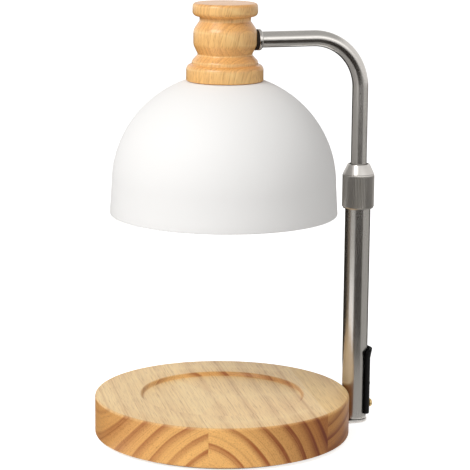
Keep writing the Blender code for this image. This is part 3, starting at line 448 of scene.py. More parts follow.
def shell_outline(profile, wall, rim_steps):
    """Section of a sheet: the outer profile, a round rim, and back one wall further in."""
    inner = []
    for index, point in enumerate(profile):
        before = Vector(profile[max(index - 1, 0)])
        after = Vector(profile[min(index + 1, len(profile) - 1)])
        along = (after - before).normalized()
        inner.append((point[0] + along.y * wall, point[1] - along.x * wall))
    outer_end, inner_end = Vector(profile[-1]), Vector(inner[-1])
    middle = (outer_end + inner_end) / 2
    spoke = outer_end - middle
    down = (outer_end - Vector(profile[-2])).normalized() * spoke.length
    lift = -down
    rim = []
    for step in range(1, rim_steps):
        angle = math.pi * step / rim_steps
        rim.append(tuple(middle + lift + spoke * math.cos(angle) + down * math.sin(angle)))
    outer = profile[:-1] + [tuple(outer_end + lift)]
    inner = inner[:-1] + [tuple(inner_end + lift)]
    return outer + rim + inner[::-1]


# Meshes and pieces

def finish_mesh(shape, name):
    """Turn a bmesh into a mesh whose faces point out."""
    bmesh.ops.remove_doubles(shape, verts=shape.verts, dist=WELD)
    bmesh.ops.recalc_face_normals(shape, faces=shape.faces)
    mesh = bpy.data.meshes.new(name)
    shape.to_mesh(mesh)
    shape.free()
    return mesh


def turned_mesh(name, outline, segments):
    """Turned solid of a section of (radius, height) points round +Z."""
    shape = bmesh.new()
    points = [shape.verts.new((radius, 0, height)) for radius, height in outline]
    edges = [shape.edges.new(pair) for pair in zip(points, points[1:])]
    if outline[0][0] or outline[-1][0]:
        edges.append(shape.edges.new((points[-1], points[0])))
    bmesh.ops.spin(shape, geom=points + edges, cent=(0, 0, 0), axis=(0, 0, 1),
                   angle=2 * math.pi, steps=segments)
    return finish_mesh(shape, name)


def bore_mesh(radius, length):
    """Solid that cuts a round hole, standing on its place."""
    return turned_mesh("hole", [(0, 0), (radius, 0), (radius, length), (0, length)], SMALL_SEGMENTS)


def prism_mesh(name, outline, bottom, top):
    """Flat outline drawn up along Z."""
    shape = bmesh.new()
    face = shape.faces.new([shape.verts.new((across, along, bottom)) for across, along in outline])
    drawn = bmesh.ops.extrude_face_region(shape, geom=[face])
    lifted = [item for item in drawn["geom"] if isinstance(item, bmesh.types.BMVert)]
    bmesh.ops.translate(shape, verts=lifted, vec=(0, 0, top - bottom))
    return finish_mesh(shape, name)


def slot_outline(start, end, radius):
    """Outline of a bar along X with round ends, drawn round its two end centres."""
    outline = []
    for centre, first in ((end, -math.pi / 2), (start, math.pi / 2)):
        for step in range(SMALL_SEGMENTS // 2 + 1):
            angle = first + 2 * math.pi * step / SMALL_SEGMENTS
            outline.append((centre + radius * math.cos(angle), radius * math.sin(angle)))
    return outline


def settle(piece):
    """Bake a piece's modifiers into its mesh."""
    graph = bpy.context.evaluated_depsgraph_get()
    piece.data = bpy.data.meshes.new_from_object(piece.evaluated_get(graph))
    piece.modifiers.clear()


def new_object(name, mesh, place=(0, 0, 0), turn=None):
    """Object in the scene, at its place."""
    item = bpy.data.objects.new(name, mesh)
    item.location = place
    if turn:
        item.rotation_euler = turn
    bpy.context.scene.collection.objects.link(item)
    return item


def new_piece(mesh, place=(0, 0, 0), turn=None):
    """Object named after its mesh."""
    return new_object(mesh.name, mesh, place, turn)


def cut(piece, mesh, place=(0, 0, 0), turn=None):
    """Cut a piece with a solid that is thrown away afterwards."""
    cutter = new_object("cutter", mesh, place, turn)
    boolean = piece.modifiers.new("cut", "BOOLEAN")
    boolean.object = cutter
    boolean.operation = "DIFFERENCE"
    boolean.solver = "EXACT"
    settle(piece)
    bpy.data.objects.remove(cutter)


def soften(piece, width, segments=3):
    """Round a piece's sharp edges."""
    bevel = piece.modifiers.new("soften", "BEVEL")
    bevel.width = width
    bevel.segments = segments
    bevel.limit_method = "ANGLE"
    bevel.angle_limit = SHARP_ANGLE
    bevel.harden_normals = False
    settle(piece)


def dress(piece, finishes, body, slot, *nodes):
    """Smooth a piece, give it its finishes and body, and let it stand for its nodes."""
    piece.data.shade_smooth()
    piece.data.set_sharp_from_angle(angle=SHARP_ANGLE)
    piece.data.materials.clear()
    for stuff in finishes:
        piece.data.materials.append(stuff)
    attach(piece, body)
    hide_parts(*nodes)


def add_piece(mesh, stuff, body, slot, node, place=(0, 0, 0), turn=None):
    """Piece of one finish, made from its mesh alone."""
    dress(new_piece(mesh, place, turn), [finish(stuff)], body, slot, node)


def marks_along(across, depth, along):
    """Marks that run along a tube."""
    return (across * BRUSH_TUBE, depth * BRUSH_TUBE, along * BRUSH_SLOW)


def marks_round(across, depth, along):
    """Marks that run round a turned piece, as a lathe leaves them."""
    return ((along + math.hypot(across, depth)) * BRUSH_TURNED, across * BRUSH_SLOW, depth * BRUSH_SLOW)


def marks_flat(across, depth, along):
    """Marks that run along a flat bar's X."""
    return (across * BRUSH_SLOW, depth * BRUSH_FLAT, along * BRUSH_FLAT)


def brush(mesh, marks):
    """Store a mesh's place in the brushing, so that its marks follow the piece."""
    stored = mesh.attributes.new("brushing", "FLOAT_VECTOR", "POINT")
    for vertex, mark in zip(mesh.vertices, stored.data):
        mark.vector = marks(*vertex.co)


def cross_recess(piece, radius, top, place, turn):
    """Cut a cross recess into the top of a screw head."""
    reach = radius * CROSS_ARM_SHARE
    half = radius * CROSS_WIDTH_SHARE / 2
    depth = radius * CROSS_DEPTH_SHARE
    for spin in (0, math.pi / 2):
        corners = ((-reach, -half), (reach, -half), (reach, half), (-reach, half))
        spun = Matrix.Rotation(spin, 2)
        outline = [tuple(spun @ Vector(corner)) for corner in corners]
        cut(piece, prism_mesh("recess", outline, top - depth, top + OVERRUN), place, turn)


def add_pan_screw(name, node, head, length, place, turn, stuff, body, slot):
    """Pan screw with a cross recess, whose head rests at its place."""
    radius = radius_of(node)
    outline = rounded([
        (0, -length),
        (radius / 2, -length),
        (radius / 2, 0),
        (radius, 0),
        (radius, head, head * PAN_ROUND_SHARE),
        (0, head),
    ])
    screw = new_piece(turned_mesh(name, outline, SMALL_SEGMENTS), place, turn)
    cross_recess(screw, radius, head, place, turn)
    dress(screw, [finish(stuff)], body, slot, node)


# Finishes

class Recipe:
    """Material under construction, with short calls for its nodes."""

    def __init__(self, name, plain):
        self.material = bpy.data.materials.new(name)
        self.material.use_nodes = True
        self.tree = self.material.node_tree
        self.shader = self.tree.nodes["Principled BSDF"]
        for socket, value in plain.items():
            self.shader.inputs[socket].default_value = value

    def node(self, kind, inputs=None, **settings):
        """New node with its settings, and with its inputs set or linked."""
        made = self.tree.nodes.new("ShaderNode" + kind)
        for key, value in settings.items():
            setattr(made, key, value)
        for socket, value in (inputs or {}).items():
            if isinstance(value, bpy.types.NodeSocket):
                self.tree.links.new(value, made.inputs[socket])
            else:
                made.inputs[socket].default_value = value
        return made

    def math(self, operation, *values):
        """Result of one arithmetic node."""
        return self.node("Math", dict(enumerate(values)), operation=operation).outputs[0]

    def vector(self, operation, *values):
        """Result of one vector node."""
        made = self.node("VectorMath", dict(enumerate(values)), operation=operation)
        return made.outputs["Value" if operation in ("LENGTH", "DOT_PRODUCT") else "Vector"]

    def noise(self, place, scale, detail=2.0, roughness=0.5):
        """Noise node over a place."""
        inputs = {"Vector": place, "Scale": scale, "Detail": detail, "Roughness": roughness}
        return self.node("TexNoise", inputs)

    def ramp(self, factor, stops):
        """Colour or value read from a ramp of (place, grey or colour) stops."""
        made = self.node("ValToRGB", {"Fac": factor})
        elements = made.color_ramp.elements
        while len(elements) < len(stops):
            elements.new(0.5)
        for element, (place, value) in zip(elements, stops):
            element.position = place
            colour = value if isinstance(value, (tuple, list)) else (value, value, value)
            element.color = (*colour, 1.0)
        return made.outputs["Color"]

    def mix(self, factor, one, two, blend="MIX"):
        """Mix of two colours."""
        made = self.node("Mix", data_type="RGBA", blend_type=blend)
        for index, value in ((0, factor), (6, one), (7, two)):
            if isinstance(value, bpy.types.NodeSocket):
                self.tree.links.new(value, made.inputs[index])
            elif index:
                made.inputs[index].default_value = (*value[:3], 1.0)
            else:
                made.inputs[index].default_value = value
        return made.outputs[2]

    def link(self, source, socket):
        """Lead an output into the shader."""
        self.tree.links.new(source, self.shader.inputs[socket])

    def bump(self, height, strength, distance):
        """Raise the surface by a height."""
        inputs = {"Height": height, "Strength": strength, "Distance": distance}
        self.link(self.node("Bump", inputs).outputs["Normal"], "Normal")

    def own_place(self):
        """Place in the piece's own frame."""
        return self.node("TexCoord").outputs["Object"]

    def surface(self, factor, dark, pale, roughness, reach, *bump):
        """Material whose factor leads its shade, and its roughness about a middle, with a bump."""
        self.link(self.mix(factor, dark, pale), "Base Color")
        self.link(self.math("MULTIPLY_ADD", factor, reach, roughness - reach / 2), "Roughness")
        self.bump(*bump)
        return self.material


def ring_stops(first, gap, share):
    """Ramp stops for a board's strong rings: each darkens slowly outwards and ends sharply."""
    stops = [(0.0, 0.0)]
    ring = first
    for _ in range(RING_COUNT):
        stops += [
            ((ring - RING_RISE) / RING_REACH, 0.0),
            ((ring - RING_DARK) / RING_REACH, 0.72),
            (ring / RING_REACH, 1.0),
            ((ring + RING_FALL) / RING_REACH, 0.0),
        ]
        ring += gap
        gap *= share
    return stops


def ring_pattern(recipe, place, heart, spacing, rings):
    """Distance from the heart, with the bands, thin lines and fine lines of the rings."""
    drift = recipe.noise(recipe.vector("MULTIPLY", place, DRIFT_SCALE), 1.0, 2.0)
    shift = recipe.vector("SUBTRACT", drift.outputs["Color"], (0.5, 0.5, 0.5))
    shift = recipe.vector("MULTIPLY", shift, (DRIFT_REACH, 0.0, DRIFT_REACH))
    spoke = recipe.vector("SUBTRACT", recipe.vector("ADD", place, shift), (heart[0], 0.0, heart[1]))
    radius = recipe.vector("LENGTH", recipe.vector("MULTIPLY", spoke, (1.0, 0.0, 1.0)))
    count = recipe.math("DIVIDE", radius, spacing)
    uneven = recipe.node("TexNoise", {"W": count, "Scale": UNEVEN_SCALE, "Detail": 1.0},
                         noise_dimensions="1D")
    count = recipe.math("MULTIPLY_ADD", uneven.outputs[0], UNEVEN_REACH, count)
    year = recipe.math("FRACT", count)
    if rings:
        band = recipe.ramp(recipe.math("DIVIDE", radius, RING_REACH), ring_stops(*rings))
    else:
        band = recipe.ramp(year, YEAR_BAND)
    line = recipe.ramp(year, YEAR_LINE)
    fine_count = recipe.math("MULTIPLY", count, FINE_LINES_A_YEAR)
    fine = recipe.ramp(recipe.math("FRACT", fine_count), FINE_LINE)
    return radius, band, line, fine


def wood_finish(name, settings, heart, tone, turn, spacing, contrast=1.0, depth=0.0, gloss=0.0, rings=()):
    """Solid wood whose rings lie round a heart, in the frame (across, along, depth)."""
    recipe = Recipe(name, {"Specular IOR Level": 0.32, "Coat Weight": gloss, "Coat Roughness": 0.20})
    coordinates = recipe.node("TexCoord").outputs
    place = recipe.node("Mapping", {"Vector": coordinates["Object"], "Rotation": turn}).outputs["Vector"]
    radius, band, line, fine = ring_pattern(recipe, place, heart, spacing, rings)
    facing = recipe.node("Mapping", {"Vector": coordinates["Normal"], "Rotation": turn},
                         vector_type="NORMAL")
    parts = recipe.node("SeparateXYZ", {"Vector": facing.outputs["Vector"]})
    end = recipe.math("POWER", recipe.math("ABSOLUTE", parts.outputs["Y"]), 0.5)
    broad = recipe.math("MULTIPLY", band, recipe.math("MULTIPLY_ADD", end, BAND_AT_END, BAND_AT_FACE))
    narrow = recipe.math("MULTIPLY_ADD", line, LINE_DARKNESS, recipe.math("MULTIPLY", fine, FINE_DARKNESS))
    patch = recipe.noise(recipe.vector("MULTIPLY", place, PATCH_SCALE), 1.0, 3.0).outputs[0]
    late = recipe.math("MULTIPLY", recipe.math("ADD", broad, narrow),
                       recipe.math("MULTIPLY_ADD", patch, PATCH_GAIN, PATCH_BASE))
    late = recipe.math("MULTIPLY", late, contrast)
    light = [value * share for value, share in zip(settings.light, tone)]
    ring = [value * share for value, share in zip(settings.ring, tone)]
    colour = recipe.mix(late, light, ring)
    upright = recipe.math("SUBTRACT", 1.0, recipe.math("ABSOLUTE", parts.outputs["Z"]))
    cut_side = recipe.math("MAXIMUM", end, upright) if depth else end
    colour = recipe.mix(cut_side, colour, tuple(settings.end), "MULTIPLY")
    far = recipe.node("MapRange", {"Value": radius, "From Min": DEEP_NEAR, "From Max": DEEP_FAR}).outputs[0]
    deep = recipe.math("MULTIPLY", cut_side, recipe.math("MULTIPLY", far, depth))
    colour = recipe.mix(deep, colour, tuple(settings.deep), "MULTIPLY")
    fibre = recipe.noise(recipe.vector("MULTIPLY", place, FIBRE_SCALE), 1.0, 3.0, 0.65).outputs[0]
    recipe.link(recipe.mix(1.0, colour, recipe.ramp(fibre, FLECK), "MULTIPLY"), "Base Color")
    rough = recipe.math("MULTIPLY_ADD", fibre, 0.16, settings.sheen_roughness - 0.08)
    recipe.link(recipe.math("MULTIPLY_ADD", late, 0.06, rough), "Roughness")
    recipe.bump(recipe.math("MULTIPLY_ADD", late, -0.35, fibre), 0.16, 0.00010)
    return recipe.material


def shaded(colour, share):
    """Colour made darker or paler by a share."""
    return [min(1.0, value * share) for value in colour]


def steel_finish(name, colour, roughness):
    """Brushed or turned metal, with its marks where the mesh stores them."""
    recipe = Recipe(name, {"Metallic": 1.0})
    stored = recipe.node("Attribute", attribute_name="brushing").outputs["Vector"]
    streak = recipe.noise(stored, 1.0, 3.0, 0.6).outputs[0]
    cloud = recipe.noise(recipe.own_place(), 90.0, 3.0).outputs[0]
    both = recipe.math("MULTIPLY_ADD", cloud, 0.35, recipe.math("MULTIPLY", streak, 0.65))
    dark, pale = shaded(colour, 1 - STEEL_MARKS), shaded(colour, 1 + STEEL_MARKS)
    return recipe.surface(both, dark, pale, roughness, 0.10, streak, 0.06, 0.00002)


def cast_finish(name, colour, roughness, metallic, grain, relief, gloss):
    """Plain metal or moulded stuff with a fine even grain."""
    recipe = Recipe(name, {"Metallic": metallic, "Specular IOR Level": gloss})
    place = recipe.own_place()
    speck = recipe.noise(place, grain, 3.0).outputs[0]
    cloud = recipe.noise(place, grain / 20, 2.0).outputs[0]
    both = recipe.math("MULTIPLY_ADD", cloud, 0.5, recipe.math("MULTIPLY", speck, 0.5))
    dark, pale = shaded(colour, 0.88), shaded(colour, 1.10)
    return recipe.surface(both, dark, pale, roughness, 0.12, speck, 0.25, relief)


def paint_finish(name):
    """Matt sprayed paint with a very fine orange peel."""
    settings = bpy.context.scene.lamp_shade
    recipe = Recipe(name, {"Specular IOR Level": 0.42})
    place = recipe.own_place()
    peel = recipe.noise(place, 1400.0, 2.0).outputs[0]
    cloud = recipe.noise(place, 22.0, 3.0).outputs[0]
    paint = tuple(settings.paint)
    return recipe.surface(cloud, shaded(paint, 0.985), paint, settings.roughness, 0.06, peel, 0.12, 0.00003)


def glass_finish(name):
    """Clear glass with slight ripples."""
    recipe = Recipe(name, {"Transmission Weight": 1.0, "IOR": 1.46})
    wave = recipe.noise(recipe.own_place(), GLASS_RIPPLE, 2.0).outputs[0]
    duller = shaded(GLASS_COLOUR, 0.97)
    return recipe.surface(wave, duller, GLASS_COLOUR, GLASS_ROUGHNESS, GLASS_ROUGHNESS, wave, 0.25, 0.00008)


made_finishes = {}


def make_finish(name):
    """New finish of the lamp, by name."""
    if name in STEELS:
        colour, rougher = STEELS[name]
        steel = bpy.context.scene.lamp_steel
        return steel_finish(name, getattr(steel, colour), steel.roughness + rougher)
    if name in PLAIN_STUFFS:
        return cast_finish(name, *PLAIN_STUFFS[name])
    return {"clear_glass": glass_finish, "matt_white": paint_finish}[name](name)


def finish(name):
    """Finish of the lamp by name, made when it is first asked for."""
    if name not in made_finishes:
        made_finishes[name] = make_finish(name)
    return made_finishes[name]


# Stand

def cut_groove(piece):
    """Groove under the base that the strip lies in."""
    half = radius_of("foot_strip")
    bottom, top = span("foot_strip")
    outline = slot_outline(low("foot_strip").x + half, high("foot_strip").x + OVERRUN, half + FIT)
    cut(piece, prism_mesh("groove", outline, bottom - OVERRUN, top + FIT))


def split_boards(mesh, turn):
    """Part the faces where the boards are glued, and number them by board."""
    shape = bmesh.new()
    shape.from_mesh(mesh)
    across = Vector((math.cos(turn), -math.sin(turn), 0))
    for joint in BOARD_JOINTS:
        everything = shape.verts[:] + shape.edges[:] + shape.faces[:]
        bmesh.ops.bisect_plane(shape, geom=everything, dist=WELD,
                               plane_co=across * joint, plane_no=across)
    for face in shape.faces:
        place = face.calc_center_median().dot(across)
        face.material_index = sum(place > joint for joint in BOARD_JOINTS)
    shape.to_mesh(mesh)
    shape.free()


class LAMP_OT_wood_base(bpy.types.Operator):
    """Glued wooden disc with the recess for the jar"""

    bl_idname = "lamp.wood_base"
    bl_label = "Wooden Base"

    def execute(self, context):
        wood = context.scene.lamp_wood
        radius = radius_of("wood_base")
        bottom, top = span("wood_base")
        seat = seat_height()
        outline = rounded([
            (0, bottom),
            (radius, bottom, BASE_EDGE_ROUND),
            (radius, top, BASE_EDGE_ROUND),
            (RECESS_RADIUS + RECESS_FILLET, top, RECESS_FILLET),
            (RECESS_RADIUS, seat, RECESS_FILLET),
            (0, seat),
        ])
        piece = new_piece(turned_mesh("base_disc", outline, LARGE_SEGMENTS))
        cut_groove(piece)
        split_boards(piece.data, wood.board_turn)
        turn = (0.0, 0.0, wood.board_turn)
        finishes = []
        boards = zip(BOARD_HEARTS, BOARD_TONES, BOARD_DEPTHS, BOARD_RINGS)
        for index, (heart, tone, depth, rings) in enumerate(boards, 1):
            finishes.append(wood_finish(f"board_{index}", wood, heart, tone, turn, wood.ring_spacing,
                                        depth=depth, rings=rings))
        board_of_face = [face.material_index for face in piece.data.polygons]
        dress(piece, finishes, "stand", "wood", "wood_base")
        piece.data.polygons.foreach_set("material_index", board_of_face)
        return {"FINISHED"}


def add_mat():
    """Rubber mat with low rings that grip the table."""
    radius, top = radius_of("nonslip_mat"), high("nonslip_mat").z
    corners = [(0, 0)]
    pitch = radius / (MAT_RING_COUNT + 1)
    for index in range(1, MAT_RING_COUNT + 1):
        start = pitch * index
        corners += [
            (start, 0),
            (start + pitch / 6, MAT_RING_DEPTH),
            (start + pitch / 3, MAT_RING_DEPTH),
            (start + pitch / 2, 0),
        ]
    corners += [(radius, 0, MAT_EDGE_ROUND), (radius, top, MAT_EDGE_ROUND), (0, top)]
    mesh = turned_mesh("mat_pad", rounded(corners), LARGE_SEGMENTS)
    add_piece(mesh, "soft_rubber", "stand", "rubber", "nonslip_mat")


def add_strip():
    """Round-ended steel strip with its countersunk screws."""
    bottom, top = span("foot_strip")
    half = radius_of("foot_strip")
    outline = slot_outline(low("foot_strip").x + half, high("foot_strip").x - half, half)
    strip = new_piece(prism_mesh("foot_bar", outline, bottom, top))
    soften(strip, STRIP_EDGE_ROUND)
    screws = [f"strip_screw_{index}" for index in (1, 2, 3)] + ["post_screw"]
    for node in screws:
        head = radius_of(node) + FIT
        hole = [
            (0, bottom - OVERRUN),
            (head, bottom - OVERRUN),
            (head, bottom),
            (head - COUNTERSUNK_SLOPE, bottom + COUNTERSUNK_SLOPE),
            (0, bottom + COUNTERSUNK_SLOPE),
        ]
        cut(strip, turned_mesh("hole", hole, SMALL_SEGMENTS), axis_of(node))
    brush(strip.data, marks_flat)
    dress(strip, [finish("satin_steel")], "stand", "brushed_steel", "foot_strip")
    for node in screws:
        add_countersunk_screw(node)


class LAMP_OT_foot(bpy.types.Operator):
    """Mat, steel strip and the strip's post screw"""

    bl_idname = "lamp.foot"
    bl_label = "Mat and Strip"

    def execute(self, context):
        add_mat()
        add_strip()
        return {"FINISHED"}


def add_countersunk_screw(node):
    """Countersunk screw with a cross recess, head down."""
    head = radius_of(node)
    length = high(node).z - low(node).z
    shank = head - COUNTERSUNK_SLOPE if node == "post_screw" else head / 2
    outline = [
        (0, 0),
        (head, 0),
        (shank, head - shank),
        (shank, length * TAPER_START_SHARE),
        (shank * TIP_SHARE, length),
        (0, length),
    ]
    place = axis_of(node) + Vector((0, 0, low(node).z))
    screw = new_piece(turned_mesh(node + "_turned", outline, SMALL_SEGMENTS), place)
    cross_recess(screw, head, 0.0, place, HEAD_DOWN)
    dress(screw, [finish("zinc_plating")], "stand", "zinc_steel", node)


def add_post_tube():
    """Post tube, cut where the lead and the screw pass."""
    radius = radius_of("post_tube")
    outline = ring_outline(radius - POST_WALL, radius, *span("post_tube"), POST_EDGE_ROUND)
    centre = axis_of("post_tube")
    tube = new_piece(turned_mesh("post_pipe", outline, MEDIUM_SEGMENTS), centre)
    holes = {
        "cord_grommet": radius_of("cord_grommet") - FIT,
        "cover_screw": radius_of("cover_screw") / 2 + FIT,
    }
    for node, size in holes.items():
        cut(tube, bore_mesh(size, radius * 2), centre + Vector((0, 0, mid_height(node))), ALONG_X)
    brush(tube.data, marks_along)
    dress(tube, [finish("satin_steel")], "stand", "brushed_steel", "post_tube")


def add_outlet_plate():
    """Moulded tongue that wraps the post's outer side, with its lip turned out."""
    centre = axis_of("post_tube")
    bottom, top = span("cord_cover")
    bore = radius_of("post_tube") + FIT
    face = bore + PLATE_WALL
    side = face + PLATE_LIP_FLARE
    edge = bore * math.cos(PLATE_ANGLE)
    shape = bmesh.new()
    layers = []
    for inner in (False, True):
        grid = []
        for column in range(PLATE_COLUMNS + 1):
            share = 2 * column / PLATE_COLUMNS - 1
            line = []
            for row in range(PLATE_ROWS + 1):
                line.append(shape.verts.new(
                    plate_point(share, row / PLATE_ROWS, inner, bore, edge, side, bottom, top)))
            grid.append(line)
        layers.append(grid)
    outer, inner = layers
    for column in range(PLATE_COLUMNS):
        for row in range(PLATE_ROWS):
            for grid in layers:
                shape.faces.new((grid[column][row], grid[column + 1][row],
                                 grid[column + 1][row + 1], grid[column][row + 1]))
    columns, rows = range(PLATE_COLUMNS), range(PLATE_ROWS)
    border = [(column, 0) for column in columns] + [(PLATE_COLUMNS, row) for row in rows]
    border += [(column + 1, PLATE_ROWS) for column in reversed(columns)]
    border += [(0, row + 1) for row in reversed(rows)]
    for (one, two), (three, four) in zip(border, border[1:] + border[:1]):
        shape.faces.new((outer[one][two], outer[three][four], inner[three][four], inner[one][two]))
    plate = new_piece(finish_mesh(shape, "outlet_plate"), centre)
    soften(plate, PLATE_EDGE_ROUND, 4)
    hole = bore_mesh(radius_of("cord_grommet") + FIT, side * 2)
    cut(plate, hole, centre + Vector((0, 0, mid_height("cord_grommet"))), ALONG_X)
    dress(plate, [finish("black_moulding")], "stand", "black_plastic", "cord_cover")


def plate_point(across, up, inner, bore, edge, side, bottom, top):
    """Point of the plate's skin, from its shares across and up."""
    wall = 0 if inner else PLATE_WALL
    lip = top - PLATE_LIP_LENGTH
    height = bottom + (top - bottom) * up
    for _ in range(3):
        lean = max(0.0, (height - lip) / PLATE_LIP_LENGTH)
        radius = bore + wall + PLATE_LIP_FLARE * lean
        half_angle = math.acos(edge / radius)
        over = abs(math.sin(across * half_angle) * radius) - (side - PLATE_CORNER)
        inset = PLATE_CORNER - math.sqrt(PLATE_CORNER ** 2 - over ** 2) if over > 0 else 0
        height = bottom + inset + (top - bottom - 2 * inset) * up
    angle = across * half_angle
    return (radius * math.cos(angle), radius * math.sin(angle), height)


def add_grommet():
    """Rubber grommet in the plate and the tube."""
    lip = radius_of("cord_grommet")
    start, end = low("cord_grommet").x, high("cord_grommet").x
    bore = radius_of("post_lead") + FIT
    step = radius_of("post_tube") + axis_of("post_tube").x + FIT - start
    outline = [
        (bore, 0),
        (lip - GROMMET_LIP, 0),
        (lip - GROMMET_LIP, step),
        (lip, step),
        (lip, end - start - GROMMET_TAPER),
        (bore + FIT, end - start - GROMMET_SINK),
        (bore, end - start - GROMMET_SINK),
    ]
    mesh = turned_mesh("outlet_grommet", outline, SMALL_SEGMENTS)
    place = (start, 0, mid_height("cord_grommet"))
    add_piece(mesh, "soft_rubber", "stand", "rubber", "cord_grommet", place, ALONG_X)


def add_brass_screw():
    """Brass screw that holds the plate."""
    start, end = low("cover_screw").x, high("cover_screw").x
    head = radius_of("cover_screw") * BRASS_HEAD_SHARE
    place = (end - head, 0, mid_height("cover_screw"))
    add_pan_screw("brass_screw", "cover_screw", head, end - head - start, place, ALONG_X,
                  "turned_brass", "stand", "brass")


class LAMP_OT_post(bpy.types.Operator):
    """Steel post with the outlet's plate, its grommet and its brass screw"""

    bl_idname = "lamp.post"
    bl_label = "Post and Outlet Plate"

    def execute(self, context):
        add_post_tube()
        add_outlet_plate()
        add_grommet()
        add_brass_screw()
        return {"FINISHED"}


# Clamp

class LAMP_OT_clamp_nut(bpy.types.Operator):
    """Knurled nut with its smooth cone"""

    bl_idname = "lamp.clamp_nut"
    bl_label = "Clamp Nut"

    def execute(self, context):
        steel = context.scene.lamp_steel
        radius = radius_of("clamp_nut")
        bottom, top = span("clamp_nut")
        cone = top - NUT_CONE_HEIGHT
        knurl_top = cone - NUT_NECK_HEIGHT
        knurl_bottom = bottom + NUT_CHAMFER
        skirt = radius_of("post_tube") + FIT
        thread = radius_of("post_fitting") + FIT
        hole = radius_of("arm_tube") + NUT_HOLE_GAP
        shelf = high("thrust_washer").z + FIT
        root = radius - steel.knurl_depth
        step = high("post_tube").z + FIT
        outline = rounded([
            (skirt, bottom),
            (radius - NUT_CHAMFER, bottom, NUT_EDGE_ROUND),
            (root, knurl_bottom),
            (radius, knurl_bottom + steel.knurl_depth),
            (radius, knurl_bottom + steel.knurl_depth * 2),
            (radius, knurl_top - steel.knurl_depth * 2),
            (radius, knurl_top - steel.knurl_depth),
            (root, knurl_top),
            (root - NUT_NECK_FLARE, (knurl_top + cone) / 2),
            (root + NUT_NECK_FLARE, cone, NUT_SHOULDER_ROUND),
            (NUT_TOP_RADIUS, top, NUT_EDGE_ROUND),
            (hole, top),
            (hole, shelf),
            (thread, shelf),
            (thread, step),
            (skirt, step),
        ])
        mesh = turned_mesh("knurled_nut", outline, steel.knurl_ribs * KNURL_STEPS)
        for vertex in mesh.vertices:
            size = math.hypot(vertex.co.x, vertex.co.y)
            if size > root + WELD and knurl_bottom < vertex.co.z < knurl_top:
                turn = math.atan2(vertex.co.y, vertex.co.x) * steel.knurl_ribs / (2 * math.pi)
                valley = abs(2 * (turn - math.floor(turn)) - 1)
                vertex.co.xy *= 1 - (size - root) / size * valley
        brush(mesh, marks_round)
        steels = [finish("turned_steel"), finish("knurled_steel")]
        dress(new_piece(mesh, axis_of("clamp_nut")), steels, "nut", "brushed_steel", "clamp_nut")
        # The knurled band and the chamfer below it take the darker steel, a painted shade
        for face in mesh.polygons:
            outside = math.hypot(face.center.x, face.center.y) > radius - NUT_CHAMFER
            face.material_index = int(outside and bottom < face.center.z < knurl_top)
        return {"FINISHED"}


# Arm

def arm_path(start, end):
    """Centreline with its lengths, from the lower end round the bend to the arm's end."""
    across = axis_of("clamp_nut").x
    height = high("arm_tube").z - radius_of("arm_tube")
    points = [Vector((across, 0, start))]
    for step in range(ARM_BEND_STEPS + 1):
        angle = math.pi / 2 * step / ARM_BEND_STEPS
        points.append(Vector((across - ARM_BEND + ARM_BEND * math.cos(angle), 0,
                              height - ARM_BEND + ARM_BEND * math.sin(angle))))
    points.append(Vector((end, 0, height)))
    return points


def add_arm_tube():
    """Hollow tube swept along the path, brushed along its length."""
    radius = radius_of("arm_tube")
    path = arm_path(low("arm_tube").z, low("arm_tube").x)
    shape = bmesh.new()
    brushing = shape.verts.layers.float_vector.new("brushing")
    rings = []
    length = 0.0
    for index, point in enumerate(path):
        before, after = path[max(index - 1, 0)], path[min(index + 1, len(path) - 1)]
        along = (after - before).normalized()
        across = Vector((0, 1, 0)).cross(along)
        length += (point - before).length
        ring = []
        for size in (radius, radius - ARM_WALL):
            for step in range(MEDIUM_SEGMENTS):
                angle = 2 * math.pi * step / MEDIUM_SEGMENTS
                one, two = size * math.cos(angle), size * math.sin(angle)
                vertex = shape.verts.new(point + across * one + Vector((0, two, 0)))
                vertex[brushing] = marks_along(one, two, length)
                ring.append(vertex)
        rings.append(ring)
    for step in range(MEDIUM_SEGMENTS):
        following = (step + 1) % MEDIUM_SEGMENTS
        for start in (0, MEDIUM_SEGMENTS):
            one, two = start + step, start + following
            for first, second in zip(rings, rings[1:]):
                shape.faces.new((first[one], first[two], second[two], second[one]))
        for end in (rings[0], rings[-1]):
            inner_one, inner_two = MEDIUM_SEGMENTS + step, MEDIUM_SEGMENTS + following
            shape.faces.new((end[step], end[following], end[inner_two], end[inner_one]))
    add_piece(finish_mesh(shape, "arm_pipe"), "satin_steel", "arm", "brushed_steel", "arm_tube")


def add_collar(node, name, stuff, slot, edge):
    """Round ring on the arm, at the cap."""
    radius = radius_of(node)
    thickness = high(node).x - low(node).x
    bore = radius_of("arm_tube") + FIT
    outline = rounded([
        (bore, 0),
        (radius, 0, COLLAR_INNER_EDGE),
        (radius, thickness, edge),
        (bore, thickness),
    ])
    mesh = turned_mesh(name, outline, MEDIUM_SEGMENTS)
    brush(mesh, marks_round)
    add_piece(mesh, stuff, "arm", slot, node, (low(node).x, 0, mid_height(node)), ALONG_X)


class LAMP_OT_arm(bpy.types.Operator):
    """Bent arm tube with its flange and rubber washer"""

    bl_idname = "lamp.arm"
    bl_label = "Arm"

    def execute(self, context):
        add_arm_tube()
        add_collar("arm_flange", "arm_collar", "satin_steel", "brushed_steel", FLANGE_EDGE)
        add_collar("rubber_washer", "arm_gasket", "soft_rubber", "rubber", GASKET_EDGE)
        return {"FINISHED"}


